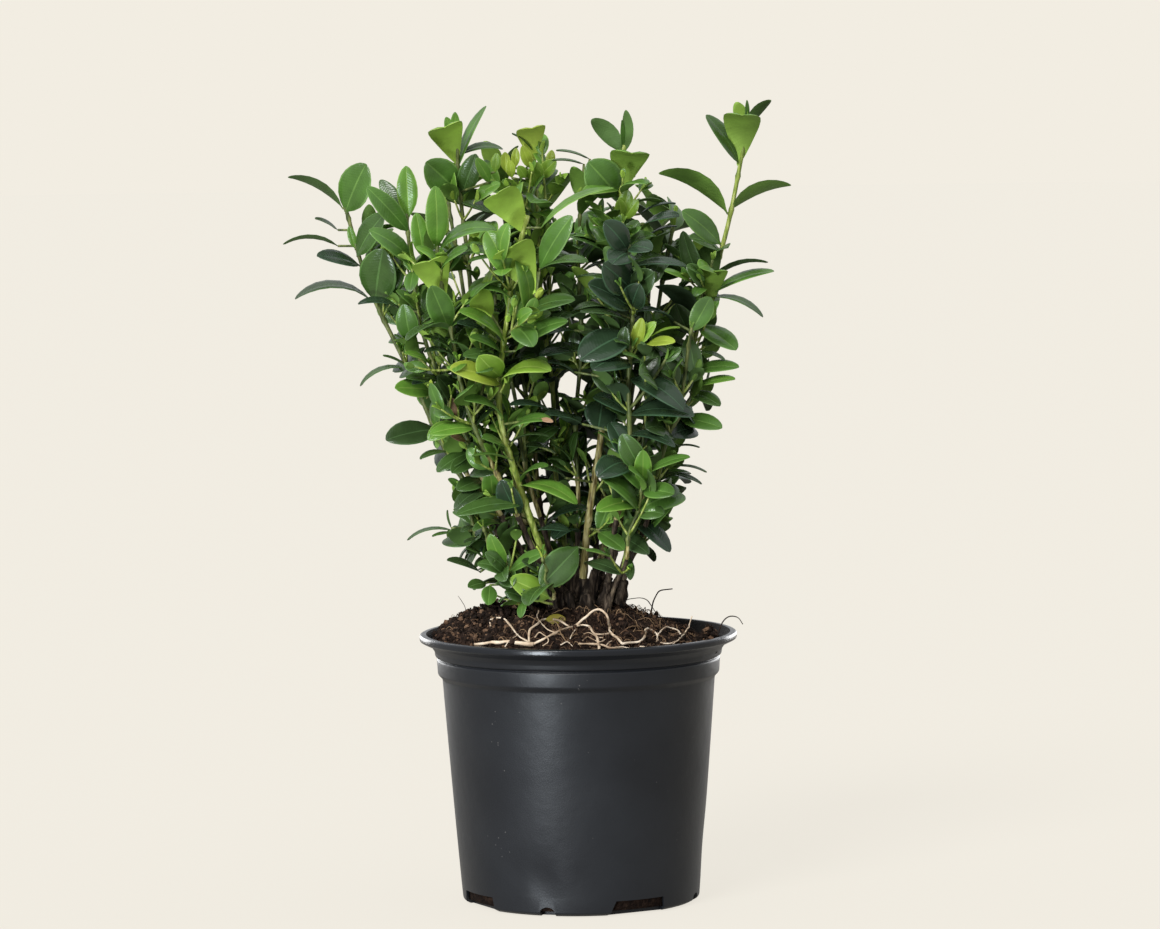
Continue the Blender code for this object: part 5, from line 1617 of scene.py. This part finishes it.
for number, (size, drawn, high) in enumerate(STUMP_FOLDS):
    fold = high * lumps(skin / (1.0, 1.0, drawn), size, FOLD_SEED + number)
    fold = fold * (LEAST_FOLD + (1 - LEAST_FOLD) * sideways)
    skin = skin + normals * fold[:, None]
stump.data.vertices.foreach_set("co", (skin * MM).ravel())
stump.data.polygons.foreach_set("use_smooth", [True] * len(stump.data.polygons))
part_of_plant(stump, "bark", "root_crown")


# Stems: young green wood, faintly four-ridged, brown and cracked low down, with a swollen node at each pair
# of leaves. Tubes along the main stems with that relief in their radii.
STEM_POINTS = 130
STEM_TURNS = 12
RIDGE = 0.07
STEM_ROUGHNESS = 0.06
STEM_LUMP = 2.2
STEM_SEED = 41
NODE_SWELL = 0.35
NODE_LENGTH = 1.1
# Where each stem's foot stops being brown and then tan, as shares of its height
STEM_TONES = {"front": (0.02, 0.03), "top_right": (0.04, 0.60), "top_middle": (0.02, 0.03),
              "left": (0.20, 0.30), "top_left": (0.16, 0.34), "right": (0.14, 0.36),
              "low_front_right": (0.40, 0.50), "right_front": (0.34, 0.44), "middle": (0.08, 0.30),
              "inner_middle": (0.20, 0.30)}
OTHER_STEM_TONES = (0.24, 0.40)
BRIGHT_STEMS = ("front", "top_right", "top_middle", "right")
STEM_THINNER = 0.8
# A stem's foot goes this far down into its stub
STEM_SUNK = 5
TWIG_TURNS = 8
STEM_BROWN, STEM_TAN, STEM_GREEN, STEM_DULL = [streaked("stem_" + tone, *values) for tone, *values in (
    ("brown", [(0.014, 0.009, 0.006), (0.055, 0.038, 0.024), (0.15, 0.112, 0.07)], 700.0, 0.75, 0.3, 0.0006),
    ("tan", [(0.105, 0.075, 0.022), (0.34, 0.29, 0.095), (0.56, 0.5, 0.24)], 800.0, 0.5, 0.4, 0.0004),
    ("green", [(0.13, 0.185, 0.026), (0.29, 0.365, 0.06), (0.48, 0.52, 0.17)], 700.0, 0.42, 0.45, 0.0002),
    ("dull", [(0.05, 0.07, 0.018), (0.12, 0.155, 0.038), (0.22, 0.24, 0.08)], 700.0, 0.5, 0.4, 0.0002))]


def noded(line, radii, nodes):
    """Radii (points, STEM_TURNS) of a four-ridged stem: r (1 + ridge cos 4a + lumps) plus a bell of height
    swell and width length at each node."""
    angle = np.arange(STEM_TURNS) * 2 * math.pi / STEM_TURNS
    along = lengths_along(line)
    bells = np.exp(-((along[:, None] - np.array(nodes)[None]) / NODE_LENGTH) ** 2).sum(axis=1)
    rough = STEM_ROUGHNESS * lumps(line, STEM_LUMP, STEM_SEED)
    round_it = 1 + RIDGE * np.cos(4 * angle) + rough[:, None]
    return STEM_THINNER * radii[:, None] * round_it + NODE_SWELL * bells[:, None]


lines = []
radii = []
slots = []
for shoot in SHOOTS:
    length = lengths_along(shoot_line(shoot))[-1]
    foot = CROWN_STUB_LENGTH - STEM_SUNK if on_root_crown(shoot) else 0.0
    line, radius = stem_part(shoot, foot, length, STEM_POINTS)
    nodes = [length - foot - distance for _, distance in pairs_down(length, LOWEST_LEAF, shoot.leaf)]
    lines.append(line)
    radii.append(noded(line, radius, nodes))
    brown, tan = STEM_TONES.get(shoot.name, OTHER_STEM_TONES)
    share = np.linspace(0, 1, STEM_POINTS - 1)
    bright = 2 if shoot.name in BRIGHT_STEMS else 3
    slots.append(np.select((share < brown, share < tan), (0, 1), bright))
lines = np.array(lines)
sides = np.repeat(np.array(slots), STEM_TURNS, axis=1).ravel()
ends = np.concatenate((np.array(slots)[:, 0], np.array(slots)[:, -1]))
points, faces = strands(lines, np.array(radii), STEM_TURNS)
coats = [STEM_BROWN, STEM_TAN, STEM_GREEN, STEM_DULL]
stems = shape("stems", points, faces, coats, np.concatenate((sides, ends)))
part_of_plant(stems, "green_stem", *["stem_" + shoot.name for shoot in SHOOTS if shoot.bare])

side_twigs = twigs[len(SHOOTS):]
points, faces = strands(np.array([twig.points for twig in side_twigs]),
                        np.array([twig.radii for twig in side_twigs])[..., None], TWIG_TURNS)
kinds = np.array([int(" short " in twig.name) for twig in side_twigs])
slots = np.concatenate((np.repeat(kinds, TWIG_TURNS * (SIDE_TWIG_RINGS - 1)), kinds, kinds))
part_of_plant(shape("side_twigs", points, faces, [STEM_DULL, STEM_GREEN], slots), "green_stem")


# Leaves: small leathery leaves, glossy above and matt below, folded along a pale midrib and arched over,
# each a closed skin with its own outline. One piece for each tone, from yellow buds to blue-green old ones.
LEAF_SHARE = 0.52
LEAF_SHARE_SPREAD = 0.09
LEAF_GAIN = 1.12
LEAF_SKIN = 0.28
LEAF_RIB = 0.30
LEAF_DROOP = 0.30
LEAF_TWIST = 12.0
# How much more a leaf arches than its plain solid, from the tip pairs on, with the chord kept
LEAF_CURL = (10, 44, 50, 34, 24, 18)
LEAF_CURL_SPREAD = 0.35
# Rows from the stalk to the tip, and the half width at each as a share of the widest
LEAF_ROWS = np.array((0, 0.05, 0.14, 0.27, 0.42, 0.57, 0.70, 0.82, 0.91, 0.965, 1.0))
LEAF_OUTLINE = np.array((0.09, 0.17, 0.50, 0.81, 0.98, 1.0, 0.92, 0.74, 0.52, 0.33, 0.08))
# A young leaf seen from below, bent over at its broad end, is a fan
FAN_OUTLINE = np.array((0.09, 0.13, 0.31, 0.53, 0.75, 0.93, 1.0, 0.98, 0.84, 0.58, 0.10))
FAN_ARCH = 95.0
LEAF_COLUMNS = np.array((-1.0, -0.90, -0.48, -0.05, 0.05, 0.48, 0.90, 1.0))
# Slots of the upper side's strips, from one margin to the other: the margins are as pale as the rib
STRIP_SLOTS = (1, 0, 0, 1, 0, 0, 1)
BUD_LENGTH = (3.2, 6.5)
BUD_ANGLE = (4, 13)
BUD_ARCH = 14.0
BUD_FOLD = 22.0
BUD_BELOW_TIP = 0.6
YOUNG_TONE = 2.0
TONE_BY_AGE = 0.62
TONE_SPREAD = 0.5
# Leaves of the short shoots, inside the crown, are set darker: painted shade
SHORT_SHOOT_SHADE_AND_TONE = 1.1
# Tones from young to old: upper side, rib and under side. The under sides of the bud, fresh, light and green
# tones are partly their own pale green and partly painted light, lifted for light that shines through a leaf
# onto its shaded side.
TONES = {
    "bud": ((0.28, 0.37, 0.040), (0.38, 0.47, 0.075), (0.43, 0.54, 0.080)),
    "fresh": ((0.180, 0.310, 0.033), (0.30, 0.44, 0.08), (0.35, 0.53, 0.070)),
    "light": ((0.105, 0.232, 0.028), (0.20, 0.34, 0.06), (0.25, 0.40, 0.060)),
    "green": ((0.068, 0.155, 0.024), (0.13, 0.25, 0.05), (0.145, 0.265, 0.045)),
    "mature": ((0.047, 0.100, 0.020), (0.085, 0.17, 0.042), (0.080, 0.150, 0.036)),
    "old": ((0.033, 0.063, 0.019), (0.055, 0.11, 0.033), (0.062, 0.105, 0.033)),
    "blue": ((0.022, 0.044, 0.021), (0.04, 0.09, 0.042), (0.045, 0.080, 0.036)),
    "dry": ((0.34, 0.20, 0.115), (0.42, 0.28, 0.17), (0.36, 0.23, 0.14)),
}
# How much darker or lighter a shoot's leaves are set, partly for their age and partly as painted shade:
# the shoots inside, low down, at the back and at the right centre are darker, and the front ones lighter
SHADE_AND_TONE_SHIFT = {"left": 0.2, "left_inner": -0.3, "left_front": -0.2, "front": -0.5, "top_left": -0.2,
              "top_middle": -0.6, "top_right": 0.2, "centre_right": 1.7, "right": 0.3, "right_front": 0.9,
              "low_left": 1.1, "low_front_left": 0.9, "low_front": 0.9, "low_front_right": 1.0,
              "low_right": 1.0, "low_back_left": 0.5, "inner_left": 0.4, "inner_right": 0.7, "back": 1.0,
              "back_left": 1.0, "back_right": 1.0, "far_left": 0.6, "far_right": 0.8, "middle": 0.6}
# Shoots not listed, inside the crown, are set darker: partly older leaves, partly painted shade
INNER_SHADE_AND_TONE_SHIFT = 1.1
LEAF_TONE_REACH = (0.78, 1.22)
# Roughness of the upper side: the youngest tone's, and how much less each older tone has
LEAF_ROUGHNESS = 0.34
LEAF_SMOOTHER = 0.02
# The rib stands out below where the blade is wider than this share
RIB_FROM = 0.2
# Side veins: how many to a leaf's length and how far they slant, both as turns of a sine
VEINS = 120.0
VEIN_SLANT = -26.0
LEAF_SHARP_EDGE = math.radians(60)
SEEN_FOLD = 20.0
SEEN_GAP = 0.3
STALK_DROP = 2.5
SHORT_STALK = 6.0
STALK_RADIUS = 0.5


def leaf_coat(name, colour, roughness, specular, veins):
    """A leaf side: its colour wanders by a fifth, and fine side veins slant from the rib to the margin."""
    tones = [[min(1.0, share * c) for c in colour] for share in LEAF_TONE_REACH]
    made, tree, shader = opened(coat(name, tones, 90.0, roughness, specular))
    place = node(tree, "UVMap", uv_map="leaf").outputs["UV"]
    parts = node(tree, "SeparateXYZ", {"Vector": place}).outputs
    away = maths(tree, "PINGPONG", parts["Y"], 0.5)
    slanted = maths(tree, "MULTIPLY_ADD", away, VEIN_SLANT, maths(tree, "MULTIPLY", parts["X"], VEINS))
    relief(tree, shader, maths(tree, "SINE", slanted), veins)
    relief(tree, shader, noise(tree, 160.0), 0.0004)
    return made


def leaf_mesh(root, along, face, length, arch, fold, twist, width, fan):
    """Points, faces, slots and UVs of many leaves at once.

    The midrib runs along an arc of the leaf's length that turns by arch in all. Across it the blade rises as
    half width (|v| tan fold - droop v^2), and the side direction turns by twist times the row's share. The
    under side is a keel, one skin and a rib below."""
    count = len(root)
    share = LEAF_ROWS[None, :, None]
    bend = arch[:, None, None] * share
    radius = (length / arch)[:, None, None]
    root, along, face = root[:, None], along[:, None], face[:, None]
    centre = root + along * np.sin(bend) * radius - face * (1 - np.cos(bend)) * radius
    normal = face * np.cos(bend) + along * np.sin(bend)
    side = np.cross(face, along) + np.zeros_like(normal)
    turn = twist[:, None, None] * share
    across_leaf = side * np.cos(turn) + normal * np.sin(turn)
    upward = normal * np.cos(turn) - side * np.sin(turn)
    outline = np.where(fan[:, None] > 0, FAN_OUTLINE[None], LEAF_OUTLINE[None])[..., None]
    half = (length * width / 2)[:, None, None] * outline
    v = LEAF_COLUMNS[None, None, :, None]
    wide = half[..., None] * v
    steep = np.tan(fold)[:, None, None, None]
    rise = half[..., None] * (np.abs(v) * steep - LEAF_DROOP * v**2 * np.abs(v))
    upper = centre[:, :, None] + across_leaf[:, :, None] * wide + upward[:, :, None] * rise
    rib = centre - upward * (LEAF_SKIN + LEAF_RIB * (LEAF_OUTLINE[None, :, None] > RIB_FROM))
    columns = len(LEAF_COLUMNS)
    points = np.concatenate((upper, rib[:, :, None]), axis=2)
    stride = columns + 1
    row = (np.arange(len(LEAF_ROWS) - 1) * stride)[:, None]
    k = np.arange(columns - 1)
    top = np.stack((row + k, row + k + 1, row + stride + k + 1, row + stride + k), axis=-1).reshape(-1, 4)
    row = row[:, 0]
    keel = row + columns
    below = np.concatenate((np.stack((row, row + stride, keel + stride, keel), axis=-1),
                            np.stack((keel, keel + stride, keel + stride - 1, keel - 1), axis=-1)))
    last = (len(LEAF_ROWS) - 1) * stride
    caps = np.stack((np.arange(stride)[::-1], last + np.arange(stride)))
    starts = np.arange(count) * len(LEAF_ROWS) * stride
    quads = np.concatenate((top, below))
    faces = (quads[None] + starts[:, None, None]).reshape(-1, 4).tolist()
    faces += (caps[None] + starts[:, None, None]).reshape(-1, stride).tolist()
    top_slots = np.tile(STRIP_SLOTS, len(LEAF_ROWS) - 1)
    slots = np.concatenate((np.tile(np.concatenate((top_slots, np.full(len(below), 2))), count),
                            np.full(2 * count, 2)))
    uv = np.stack(np.broadcast_arrays(LEAF_ROWS[:, None], np.append((LEAF_COLUMNS + 1) / 2, 0.5)), axis=-1)
    return points.reshape(-1, 3), faces, slots, np.tile(uv.reshape(-1, 2), (count, 1))


def leaf_piece(name, coats, *arrays):
    points, faces, slots, uv = leaf_mesh(*arrays)
    made = shape(name, points, faces, coats, slots)
    corners = np.zeros(len(made.data.loops), dtype=np.int32)
    made.data.loops.foreach_get("vertex_index", corners)
    made.data.uv_layers.new(name="leaf").data.foreach_set("uv", uv[corners].ravel())
    made.data.set_sharp_from_angle(angle=LEAF_SHARP_EDGE)
    return made


def seen_leaves():
    """The table's leaves as arrays like those of the grown ones, and a stalk for each from the nearest stem.

    The chord runs from root to tip, so the arc sets off half its turn above the chord."""
    lines = np.concatenate([twig.points for twig in twigs if " short " not in twig.name]
                           + [shoot_line(shoot)[3:] for shoot in SHOOTS])
    rows = []
    stalks = []
    for *places, look_x, look_y, look_z, turn, width in seen_rows:
        root = seen_at(*places[:3])
        tip = seen_at(*places[3:])
        gaps = np.linalg.norm(lines - root - (0, 0, -STALK_DROP), axis=1)
        nearest = lines[np.argmin(gaps)]
        if gaps.min() < SHORT_STALK:
            root = nearest + (root - nearest) * SEEN_GAP
        chord = unit(tip - root)
        look = np.array((look_x, look_y, look_z))
        face = unit(look - chord * np.dot(look, chord))
        half = math.radians(turn) / 2
        along = chord * math.cos(half) + face * math.sin(half)
        length = np.linalg.norm(tip - root) * half / math.sin(half)
        rows.append((root, along, face * math.cos(half) - chord * math.sin(half), length, 2 * half,
                     math.radians(SEEN_FOLD), 0.0, width, float(turn > FAN_ARCH)))
        stalks.append(nearest + (root - nearest) * np.linspace(0, 1, SIDE_TWIG_RINGS)[:, None])
    return [np.array(column) for column in zip(*rows)], np.array(stalks)


def bud_leaves(twig, number):
    """A pair of tiny leaves at a twig's tip, still pressed together."""
    rng = Random(f"{SEED} bud {twig.name}")
    place, tangent = place_on(twig.points, lengths_along(twig.points)[-1] - BUD_BELOW_TIP)
    turn = rng.uniform(0, 180)
    length = rng.uniform(*BUD_LENGTH)
    pair = []
    for half_turn in (0, 180):
        outward = across(tangent, turn + half_turn)
        angle = rng.uniform(*BUD_ANGLE)
        along = tilted(tangent, outward, angle)
        face = unit(tangent - along * np.dot(tangent, along))
        pair.append(Leaf(number, place, along, face, length, BUD_ARCH, BUD_FOLD, -1))
    return pair


for number, twig in enumerate(list(twigs)):
    if twig.name not in PAIRS_IN_TABLE:
        leaves += bud_leaves(twig, number)

rng = np.random.default_rng(SEED)
count = len(leaves)
shoots = [SHOOTS[twigs[leaf.twig].mass].name for leaf in leaves]
finer = np.array([" short " in twigs[leaf.twig].name for leaf in leaves])
of_leaves = {field: np.array([getattr(leaf, field) for leaf in leaves]) for field in Leaf._fields}
age = of_leaves["age"]
# Tones by age, then shifted darker for the inner, low and back shoots and the short shoots: partly painted
# shade
tones = YOUNG_TONE + TONE_BY_AGE * age + rng.normal(0, TONE_SPREAD, count)
tones += [SHADE_AND_TONE_SHIFT.get(name, INNER_SHADE_AND_TONE_SHIFT) for name in shoots]
tones += SHORT_SHOOT_SHADE_AND_TONE * finer
tones = np.clip(np.floor(tones), 0, len(TONES) - 2).astype(int)
curl = np.radians(np.array(LEAF_CURL)[np.clip(age + 1, 0, len(LEAF_CURL) - 1)])
curl = curl * (1 + LEAF_CURL_SPREAD * rng.uniform(-1, 1, count))
longer = np.where((age >= 0) & ~finer, LEAF_GAIN, 1.0)
along, face = of_leaves["along"], of_leaves["face"]
half_curl = curl[:, None] / 2
# The same columns as leaf_mesh takes
arrays = [of_leaves["root"],
          along * np.cos(half_curl) + face * np.sin(half_curl),
          face * np.cos(half_curl) - along * np.sin(half_curl),
          of_leaves["length"] * longer * (half_curl[:, 0] / np.sin(half_curl[:, 0])) ** 0.5,
          np.radians(of_leaves["arch"]) + curl,
          np.radians(of_leaves["fold"]),
          np.radians(rng.uniform(-LEAF_TWIST, LEAF_TWIST, count)),
          LEAF_SHARE * (1 + rng.uniform(-LEAF_SHARE_SPREAD, LEAF_SHARE_SPREAD, count)),
          np.zeros(count)]
table_leaves, leaf_stalks = seen_leaves()
arrays = [np.concatenate(both) for both in zip(arrays, table_leaves)]
table_tones = [list(TONES).index(tone) for tone, group in SEEN_LEAVES.items() for _ in group]
tones = np.concatenate((tones, table_tones))
masses = ["foliage_" + shoot.name for shoot in SHOOTS]
# The young tones' under side coats carry painted light as well as their own pale green
for number, (tone, (upper, rib, under)) in enumerate(TONES.items()):
    coats = [leaf_coat("leaf_" + tone, upper, LEAF_ROUGHNESS - LEAF_SMOOTHER * number, 0.5, 0.000012),
             leaf_coat("rib_" + tone, rib, 0.42, 0.4, 0.0),
             leaf_coat("under_" + tone, under, 0.6, 0.3, 0.00001)]
    made = leaf_piece("leaves_" + tone, coats, *[values[tones == number] for values in arrays])
    part_of_plant(made, "foliage", *(masses if tone == "mature" else []))

points, faces = strands(leaf_stalks, np.full((1, SIDE_TWIG_RINGS, 1), STALK_RADIUS), TWIG_TURNS)
part_of_plant(shape("leaf_stalks", points, faces, [STEM_DULL]), "green_stem")


# Fallen leaf: an old yellow one that lies on the compost behind the roots.
FALLEN_ROOT = (545, 620)
FALLEN_TIP = (567, 617)
FALLEN_DEPTH = -34.0
FALLEN_RISE = 1.5
FALLEN_WIDTH = 0.55
# The degrees that it arches, is folded by and is twisted by
FALLEN_TURNS = (24.0, 10.0, 25.0)
FALLEN_FACE = (-0.1, -0.75, 0.65)
YELLOW = coat("fallen_yellow", [(0.22, 0.17, 0.020), (0.42, 0.36, 0.05)], 160.0, 0.5, 0.4, 0.0001, 600.0)
root = seen_at(*FALLEN_ROOT, FALLEN_DEPTH)
chord = seen_at(*FALLEN_TIP, FALLEN_DEPTH + FALLEN_RISE) - root
along = unit(chord)
face = unit(np.array(FALLEN_FACE) - along * np.dot(along, FALLEN_FACE))
size = np.array([np.linalg.norm(chord)])
arch, fold, twist = np.radians(FALLEN_TURNS)[:, None]
fallen = leaf_piece("fallen_leaf", [YELLOW] * 3, root[None], along[None], face[None], size, arch, fold, twist,
                    np.array([FALLEN_WIDTH]), np.zeros(1))
part_of_plant(fallen, "foliage")

[[list(corner) for corner in box] for box in (cad_box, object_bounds())]
